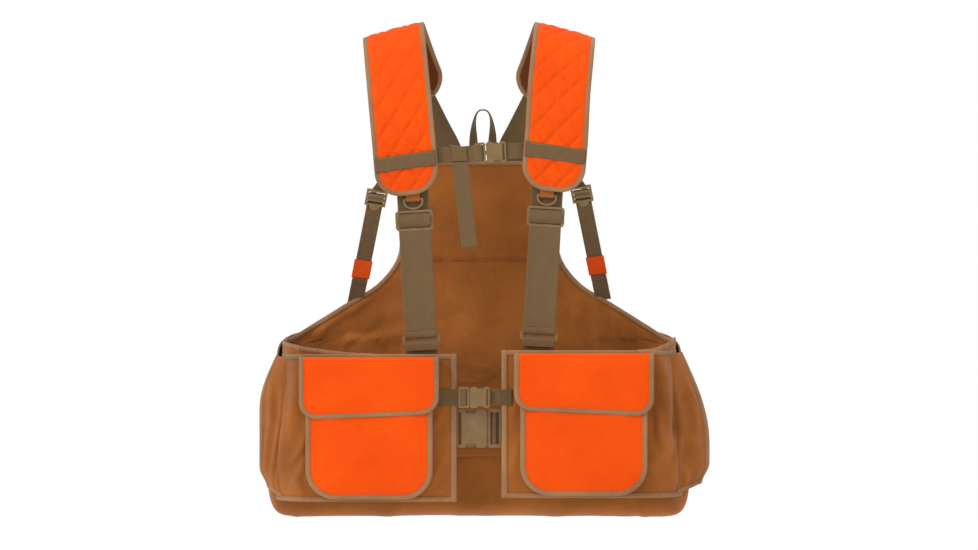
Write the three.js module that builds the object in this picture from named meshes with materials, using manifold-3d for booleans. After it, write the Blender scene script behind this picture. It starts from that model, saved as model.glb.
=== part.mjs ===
// Upland game vest: canvas body, game bag, quilted shoulder pads, strap harness and side-release buckles.
// Millimetres, +Z up. The wearer faces -Y, and the origin is where a hanger or shoulders hold the pads.
import * as THREE from "three";
import * as BufferGeometryUtils from "three/addons/utils/BufferGeometryUtils.js";
import Module from "manifold-3d";

const wasm = await Module();
wasm.setup();

// Body cloth
const canvas = 2.4; // lined canvas, thickness
const torsoHalfWidth = 311; // centre line to side seam
const torsoBack = 70; // origin to the back panel
const torsoFront = 78; // origin to the front panels
const yokeTop = 205; // drops below the origin
const yokeSeam = 358;
const wingDrop = 495; // where the armhole edge reaches the side seam
const backHem = 676;
const bagTop = 470;
const bagSideDip = 48; // the bag's top edge dips this much at the side seams
const bagFull = 620; // the bag stands at its full depth from here down
const bagBottom = 777;
const bagDepth = 78; // behind the back panel
const bagOverhang = 34; // past the side seam
const panelTop = 513;
const panelHem = 741;
const panelGap = 72; // between the two front panels
const panelTurn = 39; // at its side each front panel turns back over this much of its width
const panelFlare = 10; // the turn widens this much towards the hem
const lip = { top: 8, edgeY: -24, bottomRise: 17, tuck: 12, gauge: 1.6 }; // front lip of each side entry
const bagLap = 30; // the bag's inner wall laps this far behind the back panel
const bagBottomTurn = 24; // height of the bag's rounded bottom
const bagCloth = 2;
const bagRoundness = 2.7; // fuller than the torso's plan
const seamGap = 0.6; // between sewn pieces

// Shoulder pads and harness
const padWidth = 98;
const padThickness = 9;
const padCorner = 39;
const padEndY = -84; // centre of the pad's front end
const padEndDrop = 262;
const padBandWidth = 23;
const wideWebbing = 50; // two inch webbing
const narrowWebbing = 25; // one inch webbing
const wideGauge = 1.8; // webbing thickness
const narrowGauge = 1.6;
const strapLean = THREE.MathUtils.degToRad(3.3); // front straps lean in towards the belly
const adjusterHeight = 32;
const ringDrop = 228; // pad end to the lower ring
const harnessInset = 7; // the front strap hangs this much nearer the centre line than the pad's end
const ringPlane = padEndY + padThickness / 2 + 4.1; // the D-ring hangs just behind the pad
const chestPlane = padEndY + padThickness / 2 + 2; // the chest strap passes behind both pads
const chestDrop = 196;
const chestReach = { right: 112, left: 88 }; // strap ends, from the chest buckle's mouth
const chestFoldX = -42.6; // where the spare chest webbing folds down
const chestTailLength = 134;
const sideStrapStart = { x: 159, y: -75, drop: 254 };
const sideStrapEnd = { x: 197, standOff: 8.3, drop: 424 }; // stands off the back panel
const haulLoop = { x: 6, halfWidth: 15, height: 84, y: 77, webbing: 15 };
const plasticGap = 0.6; // running clearance in the hardware

// Pockets
const pocketWidth = 196;
const pocketHeight = 216;
const pocketDepth = 24;
const pocketCorner = 45;
const pocketWall = 2.2;
const flapWidth = 217;
const flapHeight = 98;
const flapCorner = 28;
const mouthDrop = 9; // from the panel's top edge to the pocket's mouth
const strapSpace = 3.4; // the belly strap runs between the panel and the pocket

// Buckles: webbing, length of the socket, height, thickness, length of the plug's bars, wall
const smallBuckle = {
  webbing: narrowWebbing, socket: 31, height: narrowWebbing + 8, depth: 9.6, base: 18, wall: 1.8,
};
const largeBuckle = {
  webbing: wideWebbing, socket: 49, height: wideWebbing + 11, depth: 13, base: 22, wall: 2.4,
};
const bellyDrop = 580;
const bellyPlane = -torsoFront - canvas / 2 - smallBuckle.depth / 2 - 0.8; // in front of the panels
const bellyReach = { right: 86, left: 66 };
const waistDrop = 629;
const waistPlane = -torsoFront + canvas / 2 + largeBuckle.depth / 2 + 3.8; // the belt is behind the panels
const waistReach = { right: 165, left: 140 };

// The two sides as the wearer has them. The left hangs a little higher.
const sides = [
  {
    name: "right", sign: -1, hang: 0, pocketX: 172, padEndX: 111, bandDrop: 52,
    lipReach: 36, lipFull: 0.42,
  },
  { name: "left", sign: 1, hang: 6, pocketX: 164, padEndX: 114, bandDrop: 60, lipReach: 53, lipFull: 0.7 },
];

const materials = {
  orange: { color: 0xff5a12, roughness: 0.75, metalness: 0 },
  canvas: { color: 0x85502a, roughness: 0.9, metalness: 0 },
  webbing: { color: 0x7c6446, roughness: 0.85, metalness: 0 },
  plastic: { color: 0x968060, roughness: 0.5, metalness: 0 },
};

const vest = new THREE.Group();

function addPart(parent, name, geometry, finish) {
  const mesh = new THREE.Mesh(geometry, new THREE.MeshStandardMaterial(materials[finish]));
  mesh.name = name;
  parent.add(mesh);
  return mesh;
}

function groupAt(x, y, z, parent = vest) {
  const group = new THREE.Group();
  group.position.set(x, y, z);
  parent.add(group);
  return group;
}

// A sheet of even thickness over the surface point(u, v), with u and v from 0 to 1.
function sheet(point, acrossSteps, alongSteps, thickness) {
  const nudge = 1e-4;
  const positions = [];
  const count = (acrossSteps + 1) * (alongSteps + 1);
  const index = [];
  for (const side of [0.5, -0.5]) {
    for (let j = 0; j <= alongSteps; j++) {
      for (let i = 0; i <= acrossSteps; i++) {
        const u = i / acrossSteps;
        const v = j / alongSteps;
        const across = point(Math.min(u + nudge, 1), v).sub(point(Math.max(u - nudge, 0), v));
        const along = point(u, Math.min(v + nudge, 1)).sub(point(u, Math.max(v - nudge, 0)));
        const normal = across.cross(along).normalize();
        positions.push(...point(u, v).addScaledVector(normal, side * thickness));
      }
    }
  }
  const front = (i, j) => j * (acrossSteps + 1) + i;
  const back = (i, j) => front(i, j) + count;
  const quad = (a, b, c, d) => index.push(a, b, c, a, c, d);
  for (let j = 0; j < alongSteps; j++) {
    for (let i = 0; i < acrossSteps; i++) {
      quad(front(i, j), front(i + 1, j), front(i + 1, j + 1), front(i, j + 1));
      quad(back(i, j), back(i, j + 1), back(i + 1, j + 1), back(i + 1, j));
    }
  }
  for (let i = 0; i < acrossSteps; i++) {
    quad(front(i, 0), back(i, 0), back(i + 1, 0), front(i + 1, 0));
    quad(front(i, alongSteps), front(i + 1, alongSteps), back(i + 1, alongSteps), back(i, alongSteps));
  }
  for (let j = 0; j < alongSteps; j++) {
    quad(front(0, j), front(0, j + 1), back(0, j + 1), back(0, j));
    quad(front(acrossSteps, j), back(acrossSteps, j), back(acrossSteps, j + 1), front(acrossSteps, j + 1));
  }
  const geometry = new THREE.BufferGeometry();
  geometry.setAttribute("position", new THREE.Float32BufferAttribute(positions, 3));
  geometry.setIndex(index);
  return geometry;
}

// Webbing along a path of [x, y, z] points, its width turned by turn(v) about Y from +X.
function webbingAlong(points, width, thickness, steps, turn = () => 0) {
  const path = new THREE.CatmullRomCurve3(points.map((p) => new THREE.Vector3(...p)), false, "centripetal");
  const point = (u, v) => {
    const angle = turn(v);
    const across = new THREE.Vector3(Math.cos(angle), 0, Math.sin(angle));
    return path.getPointAt(v).addScaledVector(across, (u - 0.5) * width);
  };
  return sheet(point, 1, steps, thickness);
}

// A straight length of webbing in an upright plane, between two corners.
function flatWebbing(fromX, toX, fromZ, toZ, y, thickness) {
  const point = (u, v) => new THREE.Vector3(
    THREE.MathUtils.lerp(fromX, toX, u), y, THREE.MathUtils.lerp(fromZ, toZ, v));
  return sheet(point, 2, 2, thickness);
}

function shapeOf(points) {
  return new THREE.Shape(points.map(([x, y]) => new THREE.Vector2(x, y)));
}

function roundedBox(left, bottom, width, height, radius, Kind = THREE.Shape) {
  const shape = new Kind();
  const right = left + width;
  const top = bottom + height;
  shape.moveTo(left + radius, bottom);
  shape.lineTo(right - radius, bottom);
  shape.absarc(right - radius, bottom + radius, radius, -Math.PI / 2, 0);
  shape.absarc(right - radius, top - radius, radius, 0, Math.PI / 2);
  shape.absarc(left + radius, top - radius, radius, Math.PI / 2, Math.PI);
  shape.absarc(left + radius, bottom + radius, radius, Math.PI, Math.PI * 1.5);
  return shape;
}

// A flat plate in the XZ plane, centred on y, from a shape drawn in x and z.
function plate(shape, thickness, y, curveSegments = 4) {
  const options = { depth: thickness, bevelEnabled: false, curveSegments };
  const geometry = new THREE.ExtrudeGeometry(shape, options);
  geometry.rotateX(Math.PI / 2);
  geometry.translate(0, y + thickness / 2, 0);
  return geometry;
}

function toSolid(geometry) {
  const bare = geometry.clone();
  bare.deleteAttribute("normal");
  bare.deleteAttribute("uv");
  const merged = BufferGeometryUtils.mergeVertices(bare, 1e-4);
  return new wasm.Manifold(new wasm.Mesh({
    numProp: 3,
    vertProperties: new Float32Array(merged.attributes.position.array),
    triVerts: new Uint32Array(merged.index.array),
  }));
}

function cut(geometry, ...tools) {
  let solid = toSolid(geometry);
  for (const tool of tools) {
    solid = solid.subtract(toSolid(tool));
  }
  return fromSolid(solid);
}

function fromSolid(solid) {
  const mesh = solid.getMesh();
  const result = new THREE.BufferGeometry();
  result.setAttribute("position", new THREE.Float32BufferAttribute(mesh.vertProperties, 3));
  result.setIndex(Array.from(mesh.triVerts));
  return result;
}

// Plan of the torso: a rounded arch from the right side seam (u = 0) round the back to the left (u = 1).
function archPoint(u, halfWidth, depth, roundness = 3) {
  const angle = Math.PI * u;
  const x = -Math.sign(Math.cos(angle)) * Math.abs(Math.cos(angle)) ** (2 / roundness);
  return [x * halfWidth, depth * Math.sin(angle) ** (2 / roundness)];
}

function archDepth(x) {
  return torsoBack * (1 - Math.min(Math.abs(x) / torsoHalfWidth, 1) ** 3) ** (1 / 3);
}

// Half width of the back under the armholes, at a drop below the origin.
function backHalfWidth(drop) {
  const armhole = new THREE.CatmullRomCurve3([
    new THREE.Vector3(85, 0, yokeTop),
    new THREE.Vector3(118, 0, yokeTop + 45),
    new THREE.Vector3(127, 0, yokeSeam - 58),
    new THREE.Vector3(130, 0, yokeSeam),
    new THREE.Vector3(162, 0, yokeSeam + 44),
    new THREE.Vector3(212, 0, wingDrop - 62),
    new THREE.Vector3(torsoHalfWidth, 0, wingDrop),
  ]);
  const samples = armhole.getPoints(60);
  const next = samples.findIndex((p) => p.z >= drop);
  if (next < 0) {
    return torsoHalfWidth;
  }
  if (next === 0) {
    return samples[0].x;
  }
  const [a, b] = [samples[next - 1], samples[next]];
  return THREE.MathUtils.mapLinear(drop, a.z, b.z, a.x, b.x);
}

function backSheet(fromDrop, toDrop, acrossSteps, alongSteps) {
  const point = (u, v) => {
    const drop = THREE.MathUtils.lerp(fromDrop, toDrop, v);
    const x = backHalfWidth(drop) * Math.sin((u - 0.5) * Math.PI);
    return new THREE.Vector3(x, archDepth(x), -drop);
  };
  return sheet(point, acrossSteps, alongSteps, canvas);
}

function addBack() {
  addPart(vest, "yoke_panel", backSheet(yokeTop, yokeSeam - seamGap / 2, 6, 5), "canvas");
  addPart(vest, "back_panel", backSheet(yokeSeam + seamGap / 2, backHem, 16, 12), "canvas");
}

// The game bag is one cloth: down the outside, under, and up the inside behind the back panel.
function addGameBag() {
  const inner = { halfWidth: torsoHalfWidth + canvas + 1.5, depth: torsoBack + canvas + 1.5 };
  const lapDrop = backHem - bagLap;
  const turn = bagBottom - bagBottomTurn;
  const point = (u, v) => {
    const outside = v < 0.5;
    const bottom = v >= 0.5 && v < 0.75;
    const top = bagTop + bagSideDip * Math.abs(Math.cos(Math.PI * u)) ** 6;
    const fill = (drop) => THREE.MathUtils.clamp((drop - top) / (bagFull - top), 0, 1);
    const fullness = (drop) => Math.sin(fill(drop) * Math.PI / 2);
    const outer = (drop) => archPoint(u, inner.halfWidth + 5 + (bagOverhang - 9) * fullness(drop),
      inner.depth + 5 + (bagDepth - 9) * fullness(drop), bagRoundness);
    const innerPlan = archPoint(u, inner.halfWidth, inner.depth);
    if (outside) {
      const drop = THREE.MathUtils.lerp(top, turn, v / 0.5);
      return new THREE.Vector3(...outer(drop), -drop);
    }
    if (bottom) {
      const angle = (v - 0.5) / 0.25 * Math.PI;
      const blend = (1 - Math.cos(angle)) / 2;
      const [ox, oy] = outer(turn);
      return new THREE.Vector3(THREE.MathUtils.lerp(ox, innerPlan[0], blend),
        THREE.MathUtils.lerp(oy, innerPlan[1], blend), -turn - (bagBottom - turn) * Math.sin(angle));
    }
    const drop = THREE.MathUtils.lerp(turn, lapDrop, (v - 0.75) / 0.25);
    return new THREE.Vector3(...innerPlan, -drop);
  };
  addPart(vest, "game_bag", sheet(point, 20, 16, bagCloth), "canvas");
}

// A front panel lies flat behind its pocket, then turns back to the side seam.
function addFrontPanel(side) {
  const flatTo = torsoHalfWidth - panelTurn;
  const top = panelTop - side.hang;
  const hem = panelHem - side.hang / 2;
  const turned = (angle, v) => new THREE.Vector2(flatTo + (panelTurn + panelFlare * v) * Math.sin(angle),
    -3 - (torsoFront - 3) * Math.cos(angle));
  const point = (u, v) => {
    const x0 = panelGap / 2;
    const flatShare = 0.45;
    if (u < flatShare) {
      return new THREE.Vector3(side.sign * THREE.MathUtils.lerp(x0, flatTo, u / flatShare), -torsoFront,
        -THREE.MathUtils.lerp(top, hem, v));
    }
    const angle = (u - flatShare) / (1 - flatShare) * Math.PI / 2;
    const place = turned(angle, v);
    return new THREE.Vector3(side.sign * place.x, place.y, -THREE.MathUtils.lerp(top, hem, v));
  };
  // The outer cloth runs on from the turn as the front lip of the bag's side entry.
  const lipPoint = (u, share) => {
    const v = THREE.MathUtils.lerp(0.02, 0.98, share);
    const start = turned(THREE.MathUtils.degToRad(50), v);
    const spread = Math.sin(Math.PI / 2 * Math.min(v / side.lipFull, 1));
    const tuck = lip.tuck * THREE.MathUtils.smoothstep(v, 0.85, 1);
    const reach = THREE.MathUtils.lerp(lip.top, side.lipReach, spread) - tuck;
    const x = THREE.MathUtils.lerp(start.x, torsoHalfWidth + reach, u);
    const y = THREE.MathUtils.lerp(start.y, lip.edgeY, u) - 4 * Math.sin(Math.PI * u);
    return new THREE.Vector3(side.sign * x, y, -THREE.MathUtils.lerp(top, hem - lip.bottomRise * u, v));
  };
  const body = toSolid(sheet(point, 11, 6, canvas));
  const edge = toSolid(sheet(lipPoint, 5, 8, lip.gauge));
  addPart(vest, `front_panel_${side.name}`, fromSolid(body.add(edge)), "canvas");
}

function pocketOutline(inset, rise) {
  const half = pocketWidth / 2 - inset;
  const radius = pocketCorner - inset;
  const bottom = -pocketHeight + inset;
  const shape = new THREE.Shape();
  shape.moveTo(-half, rise);
  shape.lineTo(-half, bottom + radius);
  shape.absarc(-half + radius, bottom + radius, radius, Math.PI, Math.PI * 1.5);
  shape.lineTo(half - radius, bottom);
  shape.absarc(half - radius, bottom + radius, radius, Math.PI * 1.5, Math.PI * 2);
  shape.lineTo(half, rise);
  return shape;
}

function addPocket(side) {
  const back = -torsoFront - canvas / 2 - strapSpace;
  const middle = back - pocketDepth / 2;
  const mouth = panelTop - side.hang + mouthDrop;
  const place = groupAt(side.sign * side.pocketX, 0, -mouth);
  const shell = cut(plate(pocketOutline(0, 0), pocketDepth, middle),
    plate(pocketOutline(pocketWall, 10), pocketDepth - 2 * pocketWall, middle));
  addPart(place, `pocket_${side.name}`, shell, "orange");

  // The flap starts at the panel, passes over the pocket's mouth and hangs down its front.
  const front = back - pocketDepth - 3;
  const foldTop = 6;
  const profile = new THREE.CatmullRomCurve3([
    new THREE.Vector3(0, -torsoFront - canvas / 2 - 2.1, foldTop - 2),
    new THREE.Vector3(0, (back + front) / 2, foldTop),
    new THREE.Vector3(0, front + 5, foldTop - 0.6),
    new THREE.Vector3(0, front + 1.3, foldTop - 3),
    new THREE.Vector3(0, front, foldTop - 8),
    new THREE.Vector3(0, front - 0.6, -flapHeight / 2),
    new THREE.Vector3(0, front, foldTop - flapHeight),
  ], false, "centripetal");
  const length = profile.getLength();
  const point = (u, v) => {
    const fromEnd = (1 - v) * length;
    const rounding = Math.max(0, 1 - fromEnd / flapCorner);
    const half = flapWidth / 2 - flapCorner * (1 - Math.sqrt(1 - rounding ** 2));
    return profile.getPointAt(v).add(new THREE.Vector3((u - 0.5) * 2 * half, 0, 0));
  };
  const eased = (u, v) => point(u, 1 - (1 - v) ** 1.5);
  addPart(place, `pocket_flap_${side.name}`, sheet(eased, 4, 24, 1.8), "orange");
}

// Centre line of a shoulder pad, from its front end over the shoulder to its back end.
function padPath(side) {
  const points = [
    [side.padEndX, padEndY, -padEndDrop + side.hang],
    [side.padEndX + 7, padEndY - 2, -180],
    [126, -78, -96],
    [133, -48, -28],
    [136, 0, 0],
    [129, 38, -18],
    [113, 60, -62],
    [92, 68, -112],
  ];
  const line = points.map(([x, y, z]) => new THREE.Vector3(side.sign * x, y, z));
  return new THREE.CatmullRomCurve3(line, false, "centripetal");
}

function padAngle(side, v) {
  const crest = 0.66;
  const degrees = v < crest ? THREE.MathUtils.lerp(6.4, 15, v / crest)
    : THREE.MathUtils.lerp(15, 28, (v - crest) / (1 - crest));
  return -side.sign * THREE.MathUtils.degToRad(degrees);
}

function padPoint(side, path, halfWidth, u, v) {
  const angle = padAngle(side, v);
  const across = new THREE.Vector3(Math.cos(angle), 0, Math.sin(angle));
  return path.getPointAt(v).addScaledVector(across, (u - 0.5) * 2 * halfWidth);
}

function addShoulderPad(side) {
  const path = padPath(side);
  const length = path.getLength();
  const point = (u, t) => {
    const v = t - 0.13 * Math.sin(2 * Math.PI * t); // more rows where the ends are round
    const fromEnd = Math.min(v, 1 - v) * length;
    const rounding = Math.max(0, 1 - fromEnd / padCorner);
    const half = padWidth / 2 - padCorner * (1 - Math.sqrt(1 - rounding ** 2));
    return padPoint(side, path, half, u, v);
  };
  addPart(vest, `shoulder_pad_${side.name}`, sheet(point, 4, 26, padThickness), "orange");

  const bandGauge = 1.2;
  const lift = padThickness / 2 + seamGap + bandGauge / 2;
  const bandPoint = (u, v) => {
    const at = (side.bandDrop + (v - 0.5) * padBandWidth) / length;
    const here = padPoint(side, path, padWidth / 2, u, at);
    const angle = padAngle(side, at);
    const across = new THREE.Vector3(Math.cos(angle), 0, Math.sin(angle));
    return here.addScaledVector(across.cross(path.getTangentAt(at)).normalize(), lift);
  };
  addPart(vest, `pad_band_${side.name}`, sheet(bandPoint, 2, 2, bandGauge), "webbing");

  // Back strap, from the pad's back end to behind the yoke.
  const s = side.sign;
  const behindYoke = torsoBack + canvas / 2 + 1 + wideGauge / 2;
  const backStrap = webbingAlong(
    [
      [s * 91, 70, -114.5], [s * 72, behindYoke - 1, -152],
      [s * 54, behindYoke, -187], [s * 42, behindYoke, -226],
    ],
    wideWebbing, wideGauge, 8, (v) => -s * THREE.MathUtils.degToRad(THREE.MathUtils.lerp(27, 17, v)));
  addPart(vest, `back_strap_${side.name}`, backStrap, "webbing");
}

// Everything on a front strap is set out in the strap's own leaning frame, from the pad's end down.
function addFrontStrap(side) {
  const frame = groupAt(side.sign * (side.padEndX - harnessInset), 0, -padEndDrop + side.hang);
  frame.rotation.y = side.sign * strapLean;
  const barGauge = 3.2;
  const tabGauge = 1.2;
  const tabTurn = 3.2; // radius of the tab's fold round the ring's bar
  const strapY = ringPlane + tabTurn + tabGauge / 2 + 0.4 + wideGauge / 2;

  // D-ring in its canvas tab
  const ringHalf = 16;
  const ringWire = 3.4;
  const barZ = -7;
  const ringEnd = -23.5;
  const dShape = (inset, Kind) => {
    const shape = new Kind();
    const half = ringHalf - inset;
    const top = barZ + ringWire / 2 - inset;
    const springing = -11;
    shape.moveTo(-half, top);
    shape.lineTo(-half, springing);
    shape.absellipse(0, springing, half, springing - ringEnd - inset, Math.PI, Math.PI * 2);
    shape.lineTo(half, top);
    shape.lineTo(-half, top);
    return shape;
  };
  const dRing = dShape(0, THREE.Shape);
  dRing.holes.push(dShape(ringWire, THREE.Path));
  addPart(frame, `d_ring_${side.name}`, plate(dRing, barGauge, ringPlane, 6), "plastic");
  const fold = (v) => {
    const angle = THREE.MathUtils.mapLinear(THREE.MathUtils.clamp(v, 0.3, 0.7), 0.3, 0.7, 0, Math.PI);
    const leg = v < 0.3 ? (0.3 - v) / 0.3 : Math.max(0, (v - 0.7) / 0.3);
    return [ringPlane - tabTurn * Math.cos(angle), barZ - tabTurn * Math.sin(angle) + leg * 18];
  };
  const tab = (u, v) => new THREE.Vector3((u - 0.5) * 22, ...fold(v));
  addPart(frame, `d_ring_tab_${side.name}`, sheet(tab, 1, 14, tabGauge), "canvas");

  // Three-bar adjuster with its roll of webbing over the middle bar
  const adjusterTop = ringEnd - 0.8;
  const adjusterHalf = wideWebbing / 2 + 4.5;
  const barHeight = 4;
  const middleBar = 5;
  const slotHeight = (adjusterHeight - 2 * barHeight - middleBar) / 2;
  const adjusterGauge = 4;
  const adjusterY = strapY - wideGauge / 2 - plasticGap - adjusterGauge / 2;
  const adjusterBottom = adjusterTop - adjusterHeight;
  const adjuster = roundedBox(-adjusterHalf, adjusterBottom, 2 * adjusterHalf, adjusterHeight, 6);
  const slotHalf = wideWebbing / 2 + 0.8;
  for (const bottom of [adjusterBottom + barHeight, adjusterTop - barHeight - slotHeight]) {
    adjuster.holes.push(roundedBox(-slotHalf, bottom, 2 * slotHalf, slotHeight, 1.5, THREE.Path));
  }
  addPart(frame, `strap_adjuster_${side.name}`, plate(adjuster, adjusterGauge, adjusterY), "plastic");
  const rollCentre = adjusterTop - adjusterHeight / 2;
  const rollHalf = middleBar / 2 + slotHeight - 1.4;
  const roll = (u, v) => new THREE.Vector3((u - 0.5) * (wideWebbing - 1),
    adjusterY - 5.6 * Math.sin(Math.PI * v), rollCentre + rollHalf * Math.cos(Math.PI * v));
  addPart(frame, `adjuster_roll_${side.name}`, sheet(roll, 1, 10, wideGauge - 0.2), "webbing");

  // Lower ring, held by the loop of the strap above and the anchor strap below
  const keeperHeight = 14;
  const keeperBar = 3;
  const keeperGauge = 2.6;
  const loopTurn = 3.15;
  const keeperY = strapY - loopTurn;
  const keeperHalf = wideWebbing / 2 + 4.3;
  const keeperTop = -ringDrop + keeperHeight / 2;
  const keeper = roundedBox(-keeperHalf, keeperTop - keeperHeight, 2 * keeperHalf, keeperHeight, 3);
  keeper.holes.push(roundedBox(-slotHalf, keeperTop - keeperHeight + keeperBar, 2 * slotHalf,
    keeperHeight - 2 * keeperBar, 1, THREE.Path));
  addPart(frame, `lower_ring_${side.name}`, plate(keeper, keeperGauge, keeperY), "plastic");

  const loop = (startZ, turnZ, endZ) => (u, v) => {
    const x = (u - 0.5) * wideWebbing;
    const down = Math.sign(turnZ - startZ);
    if (v < 0.4) {
      return new THREE.Vector3(x, strapY, THREE.MathUtils.lerp(startZ, turnZ, v / 0.4));
    }
    if (v < 0.8) {
      const angle = (v - 0.4) / 0.4 * Math.PI;
      const z = turnZ + down * loopTurn * Math.sin(angle);
      return new THREE.Vector3(x, keeperY + loopTurn * Math.cos(angle), z);
    }
    return new THREE.Vector3(x, keeperY - loopTurn, THREE.MathUtils.lerp(turnZ, endZ, (v - 0.8) / 0.2));
  };
  const upperTurn = keeperTop - 2;
  const lowerTurn = keeperTop - keeperHeight + 2;
  const loopEnd = upperTurn + 8;
  addPart(frame, `front_strap_${side.name}`,
    sheet(loop(14, upperTurn, loopEnd), 1, 20, wideGauge), "webbing");
  addPart(frame, `anchor_strap_${side.name}`,
    sheet(loop(lowerTurn - 28, lowerTurn, lowerTurn - 12), 1, 20, wideGauge), "webbing");
  addPart(frame, `strap_return_${side.name}`, flatWebbing(-wideWebbing / 2, wideWebbing / 2,
    adjusterBottom - plasticGap, loopEnd + 0.4, keeperY - loopTurn, wideGauge), "webbing");
}

// Side strap from under the pad's front end back to the armhole edge, with its ladder lock and tag.
function addSideStrap(side) {
  const s = side.sign;
  const endY = archDepth(sideStrapEnd.x) - canvas / 2 - sideStrapEnd.standOff;
  const start = new THREE.Vector3(s * sideStrapStart.x, sideStrapStart.y, -sideStrapStart.drop + side.hang);
  const end = new THREE.Vector3(s * sideStrapEnd.x, endY, -sideStrapEnd.drop + side.hang);
  const run = end.clone().sub(start);
  const length = run.length();
  const up = run.clone().normalize().negate();
  const across = new THREE.Vector3(1, 0, 0).addScaledVector(up, -up.x).normalize();
  const frame = groupAt(...start);
  frame.setRotationFromMatrix(new THREE.Matrix4().makeBasis(across, up.clone().cross(across), up));

  const lockHalf = narrowWebbing / 2 + 4;
  const lockHeight = 30;
  const lockTop = -1;
  const lockGauge = 3.6;
  const lock = new THREE.Shape();
  lock.moveTo(-lockHalf, lockTop);
  lock.lineTo(-lockHalf, lockTop - lockHeight);
  lock.lineTo(-9, lockTop - lockHeight);
  lock.absellipse(0, lockTop - lockHeight, 9, 9, Math.PI, Math.PI * 2);
  lock.lineTo(lockHalf, lockTop - lockHeight);
  lock.lineTo(lockHalf, lockTop);
  const slotHalf = narrowWebbing / 2 + 0.8;
  for (const [drop, height] of [[3.5, 4.5], [12.5, 5], [21, 5]]) {
    lock.holes.push(roundedBox(-slotHalf, lockTop - drop - height, 2 * slotHalf, height, 1, THREE.Path));
  }
  addPart(frame, `ladder_lock_${side.name}`, plate(lock, lockGauge, 0), "plastic");

  const strapY = lockGauge / 2 + plasticGap + narrowGauge / 2;
  const half = narrowWebbing / 2;
  addPart(frame, `side_strap_${side.name}`,
    flatWebbing(-half, half, -14, -length, strapY, narrowGauge), "webbing");
  const tagGauge = 1.2;
  addPart(frame, `strap_tag_${side.name}`, flatWebbing(-half - 2, half + 2, -142, -178,
    strapY - narrowGauge / 2 - 0.4 - tagGauge / 2, tagGauge), "orange");

  // The loop that holds the lock hangs straight down from under the pad.
  const hold = webbingAlong([[s * 146, -74.5, -234 + side.hang], [s * 153, -74, -244 + side.hang],
    [s * 157.5, -71.5, -252 + side.hang]], narrowWebbing - 2, 1.2, 4);
  addPart(vest, `lock_loop_${side.name}`, hold, "webbing");
}

// A side-release buckle with its mouth at the origin, the socket towards -X and the plug towards +X.
function addBuckle(frame, name, size) {
  const { webbing, socket, height, depth, base, wall } = size;
  const half = height / 2;
  const insert = socket * 0.66; // how far the arms reach in
  const notch = height * 0.085 + 1;
  const notchStart = socket * 0.32;
  const notchEnd = socket * 0.72;
  const notchRamp = socket * 0.07;
  const corner = height * 0.07;
  const upper = [
    [0, half - corner], [-corner, half], [-notchStart, half], [-notchStart - notchRamp, half - notch],
    [-notchEnd + notchRamp, half - notch], [-notchEnd, half],
    [-socket + corner, half], [-socket, half - corner],
  ];
  const lower = upper.map(([x, y]) => [x, -y]).reverse();
  const outline = shapeOf([...upper, ...lower]);
  const slotHalf = webbing / 2 + 0.6;
  const endBar = socket * 0.085;
  outline.holes.push(roundedBox(-socket + endBar, -slotHalf, socket * 0.1, 2 * slotHalf, 1, THREE.Path));
  const innerHalf = half - wall;
  const cavityLength = insert + 1.4;
  const cavity = new THREE.BoxGeometry(cavityLength + 4, depth - 2 * wall, 2 * innerHalf);
  cavity.translate(-cavityLength / 2 + 2, 0, 0);
  addPart(frame, `${name}_socket`, cut(plate(outline, depth, 0), cavity), "plastic");

  // Plug: ladder bars outside the mouth and a centre tongue inside it
  const plugGauge = depth - 2 * wall - 1;
  const mouthGap = 1.2;
  const tongueHalf = height * 0.09;
  const plug = shapeOf([
    [mouthGap, half - corner], [mouthGap + 2, half], [base - 2, half], [base, half - 2],
    [base, -half + 2], [base - 2, -half], [mouthGap + 2, -half], [mouthGap, -half + corner],
    [mouthGap, -tongueHalf], [-insert * 0.8, -tongueHalf * 0.7], [-insert * 0.8, tongueHalf * 0.7],
    [mouthGap, tongueHalf],
  ]);
  const barWidth = base * 0.15;
  const slotWidth = (base - mouthGap - 3.4 * barWidth) / 2;
  for (const index of [0, 1]) {
    const left = mouthGap + barWidth * 1.2 + index * (slotWidth + barWidth * 1.2);
    plug.holes.push(roundedBox(left, -slotHalf, slotWidth, 2 * slotHalf, 1, THREE.Path));
  }
  addPart(frame, `${name}_plug`, plate(plug, plugGauge, 0), "plastic");

  // Spring arms: each has a thumb pad that stands up into the notch behind the socket's shoulder
  const armOuter = innerHalf - 0.5;
  const armThick = height * 0.075 + 1;
  const padStart = notchStart + 3.6;
  const pad = 0.9;
  const arm = [
    [mouthGap - 0.7, armOuter - 0.6], [-padStart, armOuter], [-padStart - 3, armOuter + pad],
    [-insert + 1, armOuter + pad], [-insert, armOuter - 1], [-insert, armOuter - armThick],
    [-padStart, armOuter - armThick], [mouthGap - 0.7, armOuter - armThick + 0.8],
  ];
  addPart(frame, `${name}_upper_arm`, plate(shapeOf(arm.slice().reverse()), plugGauge, 0), "plastic");
  addPart(frame, `${name}_lower_arm`, plate(shapeOf(arm.map(([x, y]) => [x, -y])), plugGauge, 0), "plastic");
}

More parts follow.
